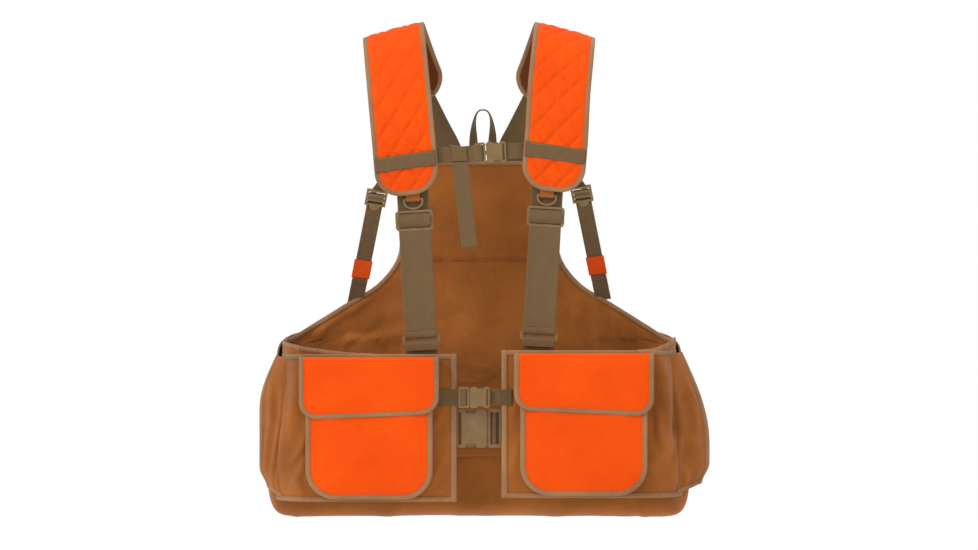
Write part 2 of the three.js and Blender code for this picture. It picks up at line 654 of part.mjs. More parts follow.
function addChestStrap() {
  const mouthX = 11.5;
  const tilt = groupAt(mouthX, chestPlane, -chestDrop);
  tilt.rotation.y = -THREE.MathUtils.degToRad(3.5);
  const turned = groupAt(0, 0, 0, tilt);
  turned.rotation.z = Math.PI; // plug towards the wearer's right
  addBuckle(turned, "chest_buckle", smallBuckle);
  const half = narrowWebbing / 2;
  const plugEnd = -smallBuckle.base - plasticGap;
  const socketEnd = smallBuckle.socket + plasticGap;
  addPart(tilt, "chest_strap_right",
    flatWebbing(-chestReach.right, plugEnd, -half, half, 0, narrowGauge), "webbing");
  addPart(tilt, "chest_strap_left",
    flatWebbing(socketEnd, chestReach.left, -half, half, 0, narrowGauge), "webbing");

  // The spare end folds over the strap and hangs down its front.
  const tailY = -narrowGauge - 0.7;
  const foldTop = half + 1;
  const left = chestFoldX - half;
  const right = chestFoldX + half;
  const corner = shapeOf([[left, -foldTop + 2], [right, -foldTop + 2], [right, foldTop - 4],
    [right - 6, foldTop], [right - 12, foldTop]]);
  const fold = plate(corner, narrowGauge, tailY);
  addPart(tilt, "chest_strap_fold", fold, "webbing");
  const tail = groupAt(chestFoldX, tailY, -foldTop + 1.2, tilt);
  tail.rotation.y = -THREE.MathUtils.degToRad(3.4);
  addPart(tail, "chest_strap_tail",
    flatWebbing(-half, half, -1, -chestTailLength, 0, narrowGauge), "webbing");
}

function addBellyBuckles() {
  const belly = groupAt(-14, bellyPlane, -bellyDrop);
  const turned = groupAt(0, 0, 0, belly);
  turned.rotation.z = Math.PI;
  addBuckle(turned, "belly_buckle", smallBuckle);
  const half = narrowWebbing / 2;
  const onPanel = -bellyPlane - torsoFront - canvas / 2 - 0.4 - narrowGauge / 2;
  const plugEnd = -smallBuckle.base - plasticGap;
  const socketEnd = smallBuckle.socket + plasticGap;
  addPart(belly, "belly_strap_right",
    flatWebbing(-bellyReach.right, plugEnd, -half, half, onPanel, narrowGauge), "webbing");
  addPart(belly, "belly_strap_left",
    flatWebbing(socketEnd, bellyReach.left, -half, half, onPanel, narrowGauge), "webbing");

  const waist = groupAt(12.5, waistPlane, -waistDrop);
  addBuckle(waist, "waist_buckle", largeBuckle);
  const wide = wideWebbing / 2;
  addPart(waist, "waist_belt_right",
    flatWebbing(-waistReach.right, -largeBuckle.socket - plasticGap, -wide, wide, 0, wideGauge), "webbing");
  addPart(waist, "waist_belt_left",
    flatWebbing(largeBuckle.base + plasticGap, waistReach.left, -wide, wide, 0, wideGauge), "webbing");
}

// Haul loop: webbing faces front at its ends and turns edge-on at the top.
function addHaulLoop() {
  const point = (u, v) => {
    const angle = Math.PI * v;
    const rise = Math.sin(angle);
    const out = haulLoop.halfWidth * Math.cos(angle) * (0.9 + 0.25 * rise);
    const top = -yokeTop - 1 + haulLoop.height * rise ** 0.8;
    const centre = new THREE.Vector3(haulLoop.x - out, haulLoop.y, top);
    const facing = Math.PI / 2 * rise ** 2;
    const across = new THREE.Vector3(Math.cos(facing), Math.sin(facing), 0);
    if (v > 0.5) {
      across.x *= -1;
    }
    return centre.addScaledVector(across, (u - 0.5) * haulLoop.webbing);
  };
  addPart(vest, "haul_loop", sheet(point, 1, 20, wideGauge), "webbing");
}

addBack();
addGameBag();
for (const side of sides) {
  addFrontPanel(side);
  addPocket(side);
  addShoulderPad(side);
  addFrontStrap(side);
  addSideStrap(side);
}
addChestStrap();
addBellyBuckles();
addHaulLoop();

export default vest;
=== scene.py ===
# Upland game vest: the cloth, webbing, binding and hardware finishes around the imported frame
import math
import bmesh
import bpy
from mathutils import Matrix, Vector, noise


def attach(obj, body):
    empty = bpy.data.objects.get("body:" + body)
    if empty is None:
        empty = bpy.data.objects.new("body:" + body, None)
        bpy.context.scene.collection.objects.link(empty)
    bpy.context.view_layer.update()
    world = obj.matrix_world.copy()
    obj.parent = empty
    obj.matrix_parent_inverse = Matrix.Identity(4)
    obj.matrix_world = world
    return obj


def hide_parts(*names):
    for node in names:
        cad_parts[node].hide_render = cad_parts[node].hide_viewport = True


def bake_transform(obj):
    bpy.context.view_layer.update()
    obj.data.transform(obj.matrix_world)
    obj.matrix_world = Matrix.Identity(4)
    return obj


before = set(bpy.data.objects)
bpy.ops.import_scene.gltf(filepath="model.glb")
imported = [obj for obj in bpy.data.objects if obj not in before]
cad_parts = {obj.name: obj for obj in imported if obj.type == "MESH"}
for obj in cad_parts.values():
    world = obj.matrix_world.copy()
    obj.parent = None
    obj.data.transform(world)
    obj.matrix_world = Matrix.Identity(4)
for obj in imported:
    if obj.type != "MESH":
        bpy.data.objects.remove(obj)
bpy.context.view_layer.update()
mm = 0.001
scene = bpy.context.scene

# curves and surfaces, in millimetres


def clamp(value, low, high):
    return max(low, min(high, value))


def mix(a, b, share):
    return a + (b - a) * share


def ease(share):
    share = clamp(share, 0, 1)
    return share * share * (3 - 2 * share)


def makePath(points, samples=40):
    # a smooth curve through the points, walked by distance
    points = [Vector(p) for p in points]
    ends = [points[0] * 2 - points[1]] + points + [points[-1] * 2 - points[-2]]
    line = []
    for a, b, c, d in zip(ends, ends[1:], ends[2:], ends[3:]):
        ab, bc, cd = (max((q - p).length ** 0.5, 1e-6) for p, q in ((a, b), (b, c), (c, d)))
        startSlope = ((b - a) / ab - (c - a) / (ab + bc) + (c - b) / bc) * bc
        endSlope = ((c - b) / bc - (d - b) / (bc + cd) + (d - c) / cd) * bc
        for step in range(samples):
            t = step / samples
            line.append(b * (2 * t**3 - 3 * t**2 + 1) + startSlope * (t**3 - 2 * t**2 + t)
                        + c * (3 * t**2 - 2 * t**3) + endSlope * (t**3 - t**2))
    line.append(points[-1])
    reach = [0.0]
    for p, q in zip(line, line[1:]):
        reach.append(reach[-1] + (q - p).length)

    def at(distance):
        distance = clamp(distance, 0, reach[-1])
        low, high = 0, len(reach) - 1
        while high - low > 1:
            middle = (low + high) // 2
            if reach[middle] <= distance:
                low = middle
            else:
                high = middle
        share = (distance - reach[low]) / max(reach[high] - reach[low], 1e-9)
        return line[low].lerp(line[high], share)

    return at, reach[-1]


def surfaceOf(place, flip=False, relief=None):
    # place(s, t) gives a point; the surface adds folds and a lift along its normal
    def onCloth(s, t, lift=0.0):
        step = 0.4
        across = place(s + step, t) - place(s - step, t)
        along = place(s, t + step) - place(s, t - step)
        normal = along.cross(across)
        if normal.length < 1e-9:
            normal = Vector((0, -1, 0))
        normal.normalize()
        if flip:
            normal.negate()
        height = lift + (relief(s, t) if relief else 0.0)
        return place(s, t) + normal * height

    return onCloth


def foldRelief(folds, ripple, seed, size=55.0):
    # folds are (s0, t0, s1, t1, width, height); ripple is the small unevenness all over
    def relief(s, t):
        total = ripple * noise.noise(Vector((s / size, t / size, seed)))
        total += ripple * 0.35 * noise.noise(Vector((s / size * 3.1, t / size * 3.1, seed + 5)))
        for s0, t0, s1, t1, width, height in folds:
            run = Vector((s1 - s0, t1 - t0))
            spot = Vector((s - s0, t - t0))
            share = spot.dot(run) / run.length_squared
            taper = math.sin(math.pi * clamp(share, 0, 1)) ** 0.6 if 0 < share < 1 else 0.0
            bend = 4 * math.sin(share * 5 + seed)
            away = (spot - run * share).length * (1 if run.x * spot.y - run.y * spot.x > 0 else -1) + bend
            beside = (away - 1.7 * width) / (1.3 * width)
            shape = math.exp(-((away / width) ** 2)) - 0.45 * math.exp(-(beside ** 2))
            total += height * taper * shape
        return total

    return relief


# materials


def linear(hexColour):
    channels = [int(hexColour[i:i + 2], 16) / 255 for i in (1, 3, 5)]
    return tuple(c / 12.92 if c <= 0.04045 else ((c + 0.055) / 1.055) ** 2.4 for c in channels) + (1.0,)


def addNode(tree, kind, settings=None, links=None):
    node = tree.nodes.new("ShaderNode" + kind)
    for key, value in (settings or {}).items():
        if isinstance(key, str) and hasattr(node, key):
            setattr(node, key, value)
        else:
            node.inputs[key].default_value = value
    for socket, source in (links or {}).items():
        tree.links.new(source, node.inputs[socket])
    return node


def bandScale(period):
    # Wave Texture scale for bands this many millimetres apart, on coordinates in metres
    return 2 * math.pi / (20 * period * mm)


def addRamp(tree, shader, factor, positions, colours):
    # base colour between two colours, at these positions of the factor
    ramp = addNode(tree, "ValToRGB", None, {"Fac": factor})
    for element, position, colour in zip(ramp.color_ramp.elements, positions, colours):
        element.position = position
        element.color = linear(colour)
    tree.links.new(ramp.outputs["Color"], shader.inputs["Base Color"])


def addBump(tree, shader, height, strength, distance):
    bump = addNode(tree, "Bump", {"Strength": strength, "Distance": distance}, {"Height": height})
    tree.links.new(bump.outputs["Normal"], shader.inputs["Normal"])


def startMaterial(name):
    material = bpy.data.materials.new(name)
    material.use_nodes = True
    tree = material.node_tree
    tree.nodes.clear()
    output = addNode(tree, "OutputMaterial")
    shader = addNode(tree, "BsdfPrincipled")
    tree.links.new(shader.outputs["BSDF"], output.inputs["Surface"])
    return material, tree, shader


clothLooks = {
    # waxed cotton canvas: plain weave of heavy yarn, dull, a little faded on the folds
    "cottonCanvas": {"dark": "#7d471b", "light": "#9c5b24", "yarn": 1.1, "depth": 0.22, "rough": 0.88,
                     "sheen": 0.15},
    # the same canvas, brushed side, used under the pads and inside the bag
    "liningCloth": {"dark": "#4f270d", "light": "#623110", "yarn": 1.0, "depth": 0.2, "rough": 0.92,
                    "sheen": 0.15},
    # fluorescent polyester: flat, even colour with a fine plain weave
    "fluorescentPolyester": {"dark": "#cf4000", "light": "#db4a00", "yarn": 0.9, "depth": 0.12, "rough": 0.8,
                             "sheen": 0.0},
    # cotton twill tape folded over raw edges
    "twillTape": {"dark": "#7c5a3c", "light": "#9a704d", "yarn": 1.0, "depth": 0.35, "rough": 0.85,
                  "sheen": 0.1},
}


def wovenCloth(name):
    look = clothLooks[name]
    material, tree, shader = startMaterial(name)
    uv = addNode(tree, "UVMap", {"uv_map": "cloth"})
    object_ = addNode(tree, "TexCoord")
    fade = addNode(tree, "TexNoise", {"Scale": 9.0, "Detail": 4.0, "Roughness": 0.6},
                   {"Vector": object_.outputs["Object"]})  # uneven dye over about 100 mm
    speck = addNode(tree, "TexNoise", {"Scale": 420.0, "Detail": 2.0},
                    {"Vector": object_.outputs["Object"]})  # slubs of 2 to 3 mm
    blend = addNode(tree, "Math", {"operation": "MULTIPLY_ADD", 1: 0.35},
                    {0: speck.outputs["Fac"], 2: fade.outputs["Fac"]})
    addRamp(tree, shader, blend.outputs["Value"], (0.45, 0.85), (look["dark"], look["light"]))
    warp = addNode(tree, "TexWave", {"Scale": bandScale(look["yarn"]), "bands_direction": "X",
                                     "Distortion": 0.6, "Detail": 1.0}, {"Vector": uv.outputs["UV"]})
    weft = addNode(tree, "TexWave", {"Scale": bandScale(look["yarn"]), "bands_direction": "Y",
                                     "Distortion": 0.6, "Detail": 1.0}, {"Vector": uv.outputs["UV"]})
    weave = addNode(tree, "Math", {"operation": "ADD"}, {0: warp.outputs["Fac"], 1: weft.outputs["Fac"]})
    addBump(tree, shader, weave.outputs["Value"], look["depth"], 0.4 * mm)
    shader.inputs["Roughness"].default_value = look["rough"]
    shader.inputs["Sheen Weight"].default_value = look["sheen"]
    shader.inputs["Sheen Roughness"].default_value = 0.5
    shader.inputs["Specular IOR Level"].default_value = 0.12
    return material


def nylonWebbing(name, darkHex, lightHex):
    # nylon webbing: ribs across its width with a faint herringbone, smoother and paler selvedges
    material, tree, shader = startMaterial(name)
    uv = addNode(tree, "UVMap", {"uv_map": "cloth"})
    turned = addNode(tree, "Mapping", {"Rotation": (0.0, 0.0, math.radians(24))},
                     {"Vector": uv.outputs["UV"]})
    ribs = addNode(tree, "TexWave", {"Scale": bandScale(1.7), "bands_direction": "Y", "Distortion": 0.8,
                                     "Detail": 2.0}, {"Vector": turned.outputs["Vector"]})
    yarns = addNode(tree, "TexWave", {"Scale": bandScale(1.0), "bands_direction": "X", "Distortion": 0.4},
                    {"Vector": uv.outputs["UV"]})
    weave = addNode(tree, "Math", {"operation": "MULTIPLY_ADD", 1: 0.45},
                    {0: yarns.outputs["Fac"], 2: ribs.outputs["Fac"]})
    wear = addNode(tree, "TexNoise", {"Scale": 60.0, "Detail": 3.0}, {"Vector": uv.outputs["UV"]})
    worn = addNode(tree, "Math", {"operation": "MULTIPLY", 1: 0.35}, {0: wear.outputs["Fac"]})
    # base colour: painted shade darkens the grooves between ribs and lightens their crests, following the
    # rib bump, plus a real uneven worn tone
    ribShadeAndWear = addNode(tree, "Math", {"operation": "MULTIPLY_ADD", 1: 0.55},
                   {0: ribs.outputs["Fac"], 2: worn.outputs["Value"]})
    addRamp(tree, shader, ribShadeAndWear.outputs["Value"], (0.1, 0.8), (darkHex, lightHex))
    addBump(tree, shader, weave.outputs["Value"], 0.5, 0.5 * mm)
    shader.inputs["Roughness"].default_value = 0.72
    shader.inputs["Sheen Weight"].default_value = 0.1
    shader.inputs["Specular IOR Level"].default_value = 0.35
    return material


def mouldedAcetal(name, darkHex, lightHex):
    # acetal from a spark-eroded mould: satin, with a very fine even grain
    material, tree, shader = startMaterial(name)
    object_ = addNode(tree, "TexCoord")
    cloud = addNode(tree, "TexNoise", {"Scale": 70.0, "Detail": 3.0}, {"Vector": object_.outputs["Object"]})
    addRamp(tree, shader, cloud.outputs["Fac"], (0.3, 0.7), (darkHex, lightHex))
    grain = addNode(tree, "TexNoise", {"Scale": 2500.0, "Detail": 1.0},
                    {"Vector": object_.outputs["Object"]})  # grit of 0.4 mm
    addBump(tree, shader, grain.outputs["Fac"], 0.12, 0.2 * mm)
    shader.inputs["Roughness"].default_value = 0.42
    return material


def sewingThread(name, hexColour):
    # twisted polyester thread, slightly shiny
    material, tree, shader = startMaterial(name)
    object_ = addNode(tree, "TexCoord")
    twist = addNode(tree, "TexNoise", {"Scale": 1500.0}, {"Vector": object_.outputs["Object"]})
    addBump(tree, shader, twist.outputs["Fac"], 0.3, 0.2 * mm)
    shader.inputs["Base Color"].default_value = linear(hexColour)
    shader.inputs["Roughness"].default_value = 0.55
    return material


canvas = wovenCloth("cottonCanvas")
lining = wovenCloth("liningCloth")
orange = wovenCloth("fluorescentPolyester")
tape = wovenCloth("twillTape")
webbing = nylonWebbing("nylonWebbing", "#513b20", "#6d532d")
acetal = mouldedAcetal("mouldedAcetal", "#6a5029", "#775b33")
brownThread = sewingThread("brownThread", "#5b3a20")
tanThread = sewingThread("tanThread", "#8d7355")
orangeThread = sewingThread("orangeThread", "#b83a08")
print("materials made")

# makers


def mappedGrid(columns, rows, mapping, closeAcross=False, closeAlong=False, capEnds=False):
    # a grid whose corners go where mapping(column, row) says: (point in mm, (u, v) in mm)
    bm = bmesh.new()
    bmesh.ops.create_grid(bm, x_segments=columns, y_segments=rows, size=0.5)
    uvLayer = bm.loops.layers.uv.new("cloth")
    spots = {}
    for vert in bm.verts:
        column = round((vert.co.x + 0.5) * columns)
        row = round((vert.co.y + 0.5) * rows)
        spots[vert] = mapping(column, row)
    for face in bm.faces:
        for loop in face.loops:
            loop[uvLayer].uv = Vector(spots[loop.vert][1]) * mm
    for vert, (point, _) in spots.items():
        vert.co = point * mm
    if closeAcross or closeAlong:
        bmesh.ops.remove_doubles(bm, verts=bm.verts, dist=1e-6)
    if capEnds:
        bmesh.ops.holes_fill(bm, edges=[e for e in bm.edges if e.is_boundary], sides=0)
    if closeAcross or closeAlong or capEnds:
        bmesh.ops.recalc_face_normals(bm, faces=bm.faces)
    return bm


def addPiece(name, bm, finishes, body, slotName, nodes=()):
    mesh = bpy.data.meshes.new(name)
    bm.to_mesh(mesh)
    bm.free()
    piece = bpy.data.objects.new(name, mesh)
    scene.collection.objects.link(piece)
    for finish in finishes:
        mesh.materials.append(finish)
    for polygon in mesh.polygons:
        polygon.use_smooth = True
    if body:
        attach(piece, body)
    if nodes:
        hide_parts(*nodes)
    return piece


def thicken(piece, thickness, back=0):
    solidify = piece.modifiers.new("thickness", "SOLIDIFY")
    solidify.thickness = thickness * mm
    solidify.offset = 0
    solidify.material_offset = back
    return piece


def faceOutwards(bm, surface, s, t):
    # turn the faces if they look against the surface's normal near (s, t)
    spot = surface(s, t) * mm
    bm.faces.ensure_lookup_table()
    near = min(bm.faces, key=lambda face: (face.calc_center_median() - spot).length_squared)
    near.normal_update()
    if near.normal.dot(surface(s, t, 1.0) - surface(s, t)) < 0:
        bmesh.ops.reverse_faces(bm, faces=bm.faces)
    return bm


def clothPanel(name, surface, left, right, top, bottom, columns, rows, thickness, finishes, body, slotName,
               nodes=(), spread=lambda v: v, across=lambda u: u):
    # a cut of cloth between left(t) and right(t), from t = top to bottom
    def mapping(column, row):
        t = mix(top, bottom, spread(row / rows))
        s = mix(left(t), right(t), across(column / columns))
        return surface(s, t), (s, t)

    bm = faceOutwards(mappedGrid(columns, rows, mapping), surface, mix(left(top), right(top), 0.5), top)
    piece = addPiece(name, bm, finishes, body, slotName, nodes)
    return thicken(piece, thickness, back=len(finishes) - 1)


def edgeFrames(points, closed):
    # each point of a flat line with its sideways direction
    count = len(points)
    result = []
    for index, point in enumerate(points):
        before = points[index - 1] if index or closed else point
        after = points[(index + 1) % count] if index < count - 1 or closed else point
        run = Vector(after) - Vector(before)
        run.normalize()
        result.append((Vector(point), Vector((-run.y, run.x))))
    return result


def evenly(points, spacing, closed=False):
    # the same line with points every few millimetres, corners kept
    line = [Vector(p) for p in points]
    if closed:
        line.append(line[0])
    result = []
    for a, b in zip(line, line[1:]):
        count = max(1, round((b - a).length / spacing))
        result += [a.lerp(b, step / count) for step in range(count)]
    if not closed:
        result.append(line[-1])
    return result


def boxStitch(name, surface, centre, halfAcross, halfAlong, lift, body, finish):
    # a sewn box with a cross in it
    s, t = centre
    corners = [(s - halfAcross, t - halfAlong), (s + halfAcross, t - halfAlong),
               (s + halfAcross, t + halfAlong),
               (s - halfAcross, t + halfAlong)]
    stitchRow(name + "_box", surface, corners, lift, body, finish, pitch=2.6, closed=True, girth=0.45)
    stitchRow(name + "_cross_1", surface, [corners[0], corners[2]], lift, body, finish, pitch=2.6,
              girth=0.45)
    stitchRow(name + "_cross_2", surface, [corners[1], corners[3]], lift, body, finish, pitch=2.6,
              girth=0.45)


tapeCut = {"width": 6.4, "lift": 0.75, "wrap": 0.9, "spacing": 5.0}


def bindEdge(name, surface, points, inside, thickness, body, closed=False, width=tapeCut["width"]):
    # twill tape folded over an edge: the same width on both faces, round at the fold
    line = evenly(points, tapeCut["spacing"], closed)
    frames = edgeFrames(line, closed)
    middle = frames[len(frames) // 2]
    inward = 1 if middle[1].dot(Vector(inside) - middle[0]) > 0 else -1
    half = thickness / 2
    lift = half + tapeCut["lift"]
    section = [(width, half), (width - 0.3, lift), (width / 2, lift + 0.15), (0.6, lift),
               (-0.55, lift * 0.6),
               (-tapeCut["wrap"], 0), (-0.55, -lift * 0.6), (0.6, -lift), (width / 2, -lift - 0.15),
               (width - 0.3, -lift), (width, -half)]
    around = len(section)
    rows = len(frames) if closed else len(frames) - 1

    def mapping(column, row):
        spot, sideways = frames[row % len(frames)]
        reach, height = section[column % around]
        flat = spot + sideways * inward * reach
        return surface(flat.x, flat.y, height), (column * 1.5, row * tapeCut["spacing"])

    bm = mappedGrid(around, rows, mapping, closeAcross=True, closeAlong=closed, capEnds=not closed)
    return addPiece(name, bm, [tape], body, "binding")


def stitchRow(name, surface, points, lift, body, finish, pitch=3.4, closed=False, shift=0.0,
              inside=None, girth=0.55):
    # one row of stitches; shift moves the row sideways towards the point inside
    line = evenly(points, pitch, closed)
    frames = edgeFrames(line, closed)
    inward = 1
    if inside:
        middle = frames[len(frames) // 2]
        inward = 1 if middle[1].dot(Vector(inside) - middle[0]) > 0 else -1
    bm = bmesh.new()
    for spot, sideways in frames:
        flat = spot + sideways * inward * shift
        run = Vector((sideways.y, -sideways.x)) * 0.5
        start = surface(flat.x - run.x, flat.y - run.y, lift)
        end = surface(flat.x + run.x, flat.y + run.y, lift)
        out = surface(flat.x, flat.y, lift + 1) - surface(flat.x, flat.y, lift)
        along = (end - start).normalized()
        side = along.cross(out).normalized()
        turn = Matrix((along, side, along.cross(side))).transposed().to_4x4()
        size = Matrix.Diagonal((pitch * 0.36 * mm, girth * mm, girth * 0.8 * mm, 1))
        place = Matrix.Translation(surface(flat.x, flat.y, lift) * mm)
        bmesh.ops.create_icosphere(bm, subdivisions=1, radius=1, matrix=place @ turn @ size)
    return addPiece(name, bm, [finish], body, "thread")


def strap(name, points, across, width, gauge, body, nodes=(), steps=40, ripple=0.0, seed=0.0, finish=None,
          slotName="webbing", hem=False):
    # webbing along a smooth path; across(share) is the direction of its width
    at, length = makePath(points)
    half = width / 2
    thick = gauge / 2
    section = [(half, 0), (half - 0.3, thick * 0.8), (half - 1.2, thick), (half - 2.6, thick * 0.95),
               (half - 3.1, thick * 0.72), (half * 0.4, thick * 0.8), (0, thick * 0.86),
               (-half * 0.4, thick * 0.8),
               (-half + 3.1, thick * 0.72), (-half + 2.6, thick * 0.95), (-half + 1.2, thick),
               (-half + 0.3, thick * 0.8)]
    section += [(-s, -h) for s, h in section]
    around = len(section)

    def mapping(column, row):
        share = row / steps
        distance = share * length
        ahead = at(min(distance + 0.5, length)) - at(max(distance - 0.5, 0))
        wide = Vector(across(share)).normalized()
        normal = wide.cross(ahead).normalized()
        side, height = section[column % around]
        wave = ripple * noise.noise(Vector((side / 30, distance / 45, seed)))
        swell = 1.0
        if hem and distance > length - 14:
            swell = 1.9 if distance > length - 12.5 else 1.4
        return at(distance) + wide * side + normal * (height * swell + wave), (side + half, distance)

    bm = mappedGrid(around, steps, mapping, closeAcross=True, capEnds=True)
    return addPiece(name, bm, [finish or webbing], body, slotName, nodes)


def finishHardware(name, width=0.5):
    # the moulded frame keeps its shape and gets its radius and its plastic
    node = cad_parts[name]
    node.data.materials.clear()
    node.data.materials.append(acetal)
    weld = node.modifiers.new("weld", "WELD")
    weld.merge_threshold = 0.00002
    bevel = node.modifiers.new("radius", "BEVEL")
    bevel.width = width * mm
    bevel.segments = 3
    bevel.limit_method = "ANGLE"
    bevel.angle_limit = math.radians(32)
    for polygon in node.data.polygons:
        polygon.use_smooth = False


# the cloth body

body = {"halfWidth": 311.0, "back": 70.0, "front": 78.0, "cloth": 2.4, "yokeTop": 205.0, "yokeSeam": 358.0,
        "wing": 495.0, "hem": 676.0, "panelTop": 513.0, "panelHem": 741.0, "panelGap": 72.0, "flatTo": 272.0,
        }
sides = {"right": {"sign": -1, "hang": 0.0, "pocketX": 172.0, "padEndX": 111.0, "bandDrop": 52.0,
                   "lipReach": 36.0, "lipFull": 0.42, "bandEnd": 168.0},
         "left": {"sign": 1, "hang": 6.0, "pocketX": 164.0, "padEndX": 114.0, "bandDrop": 60.0,
                  "lipReach": 53.0, "lipFull": 0.7, "bandEnd": 250.0}, }


def archTable(halfWidth, depth, roundness, count=400):
    # plan of the torso's back as (arc length, x, y) from the centre line to the side seam
    rows = []
    reach = 0.0
    for step in range(count + 1):
        angle = math.pi / 2 * (1 - step / count)
        x = halfWidth * math.cos(angle) ** (2 / roundness) if step else 0.0
        y = depth * math.sin(angle) ** (2 / roundness) if step < count else 0.0
        if rows:
            reach += math.hypot(x - rows[-1][1], y - rows[-1][2])
        rows.append((reach, x, y))
    return rows


def lookUp(rows, key, value, want):
    low, high = 0, len(rows) - 1
    while high - low > 1:
        middle = (low + high) // 2
        if rows[middle][key] <= value:
            low = middle
        else:
            high = middle
    span = rows[high][key] - rows[low][key]
    return mix(rows[low][want], rows[high][want], (value - rows[low][key]) / span if span else 0)


backArch = archTable(body["halfWidth"], body["back"], 3)
backReach = backArch[-1][0]


def backPlace(s, drop):
    reach = clamp(abs(s), 0, backReach)
    x = lookUp(backArch, 0, reach, 1)
    y = lookUp(backArch, 0, reach, 2) - max(0, abs(s) - backReach)
    return Vector((math.copysign(x, s), y, -drop))


armhole = makePath([(85, 205, 0), (118, 250, 0), (127, 300, 0), (130, 358, 0), (162, 402, 0), (212, 433, 0),
                    (311, 495, 0)])
armholeLine = [armhole[0](armhole[1] * i / 120) for i in range(121)]
armholeRows = [(p.y, p.x) for p in armholeLine]


def backHalf(drop):
    # half width of the back in arc length, at a drop below the origin
    if drop >= body["wing"]:
        return backReach
    return lookUp(backArch, 1, lookUp(armholeRows, 0, drop, 1), 0)


backFolds = [(40, 215, 118, 330, 9, 3.2), (-30, 225, -110, 320, 9, 2.6), (85, 230, 120, 300, 7, 2.4),
             (-118, 350, -215, 455, 13, 4.0), (-150, 395, -270, 490, 11, 4.2),
             (-60, 470, -200, 505, 12, 3.0), (190, 415, 205, 520, 11, 4.2), (215, 425, 240, 520, 9, 3.4),
             (255, 460, 285, 520, 9, 3.0), (60, 480, 200, 505, 12, 2.5), (-40, 560, 45, 590, 10, 1.6),
             (-45, 640, 40, 655, 10, 1.6), (-20, 300, 30, 380, 16, 1.6), (-90, 470, -10, 640, 18, 2.0),
             (80, 440, 30, 600, 18, 2.0), (-34, 530, 22, 540, 5, 2.6), (-30, 546, 30, 548, 5, 2.6),
             (-36, 560, 20, 556, 5, 2.2), (-150, 498, -185, 488, 6, 3.6), (-185, 488, -225, 502, 6, 3.6),
             (-235, 440, -262, 500, 7, 3.2), (150, 440, 172, 505, 8, 3.2), (285, 440, 300, 500, 8, 3.0), ]


backFold = foldRelief(backFolds, 2.0, 2.0)


def backRelief(s, t):
    edge = backHalf(t) - abs(s)
    calm = clamp(edge / 30, 0.35, 1) * clamp((backReach - abs(s)) / 60, 0, 1)
    return backFold(s, t) * calm * mix(0.7, 1.7, ease((t - 330) / 60))


def makeBack():
    back = surfaceOf(backPlace, relief=backRelief)
    seam = body["yokeSeam"]

    def spreadAcross(u):
        return 0.5 + 0.5 * math.copysign(abs(2 * u - 1) ** 0.9, 2 * u - 1)

    yoke = clothPanel("yoke_cloth", back, lambda t: -backHalf(t), backHalf, body["yokeTop"], seam + 9, 46,
                      28, 1.4, [canvas], "vest", "canvas", ["yoke_panel"])
    main = clothPanel("back_cloth", back, lambda t: -backHalf(t), backHalf, seam, body["hem"] + 4, 130, 80,
                      1.3, [canvas], "vest", "canvas", ["back_panel"], across=spreadAcross)
    for sign in (-1, 1):
        edge = [(sign * backHalf(p.y), p.y) for p in armholeLine[::4]]
        edge.append((sign * backReach, body["wing"] + 34))
        bindEdge(f"armhole_binding_{sign + 1}", back, edge, (0, 480), body["cloth"], "vest")
        stitchRow(f"armhole_stitch_{sign + 1}", back, edge, body["cloth"] / 2 + 0.9, "vest", brownThread,
                  shift=6.0, inside=(0, 480))
    top = [(-backHalf(body["yokeTop"]), body["yokeTop"]), (backHalf(body["yokeTop"]), body["yokeTop"])]
    bindEdge("yoke_top_binding", back, top, (0, 400), body["cloth"], "vest")
    for offset in (3.5, 7.0):
        half = backHalf(seam)
        stitchRow(f"yoke_seam_stitch_{int(offset)}", back, [(-half + 10, seam - offset + 9),
                                                            (half - 10, seam - offset + 9)],
                  0.9, "vest", brownThread)
    for drop in (562, 668):
        stitchRow(f"back_seam_stitch_{drop}", back, [(-90, drop), (90, drop)], 0.9, "vest", brownThread)


def panelPlace(side):
    # s runs from the panel's inner edge outwards; past the flat it turns back to the side seam
    info = sides[side]
    flat = body["flatTo"] - body["panelGap"] / 2
    turnLength = 98.0

    def place(s, t):
        low = clamp((t - body["panelTop"]) / (body["panelHem"] - body["panelTop"]), 0, 1.2)
        if s <= flat:
            return Vector((info["sign"] * (body["panelGap"] / 2 + s), -body["front"], -t + info["hang"]))
        angle = (s - flat) / turnLength * math.pi / 2
        reach = body["halfWidth"] - body["flatTo"] + 10 * low
        x = body["flatTo"] + reach * math.sin(min(angle, math.pi / 2))
        y = -3 - (body["front"] - 3) * math.cos(min(angle, math.pi / 2)) + max(0, s - flat - turnLength)
        return Vector((info["sign"] * x, y, -t + info["hang"]))

    return place, flat + turnLength


panelFolds = {"right": [(252, 515, 300, 742, 15, 7.5), (300, 560, 285, 700, 10, 6.0),
                        (238, 640, 268, 690, 7, 5.0), (270, 700, 236, 738, 7, 4.5),
                        (6, 560, 36, 640, 6, 4.5), (4, 630, 36, 720, 6, 4.5), (2, 690, 30, 738, 5, 3.5),
                        (235, 640, 262, 735, 8, 2.5), (310, 530, 330, 720, 9, 3.0)],
              "left": [(256, 520, 285, 738, 14, 7.0), (305, 600, 290, 730, 10, 6.0),
                       (240, 600, 262, 660, 7, 4.5), (30, 560, 6, 650, 6, 4.0), (26, 640, 8, 735, 6, 4.0),
                       (240, 690, 300, 640, 9, 3.0), (315, 540, 325, 700, 9, 3.0)], }


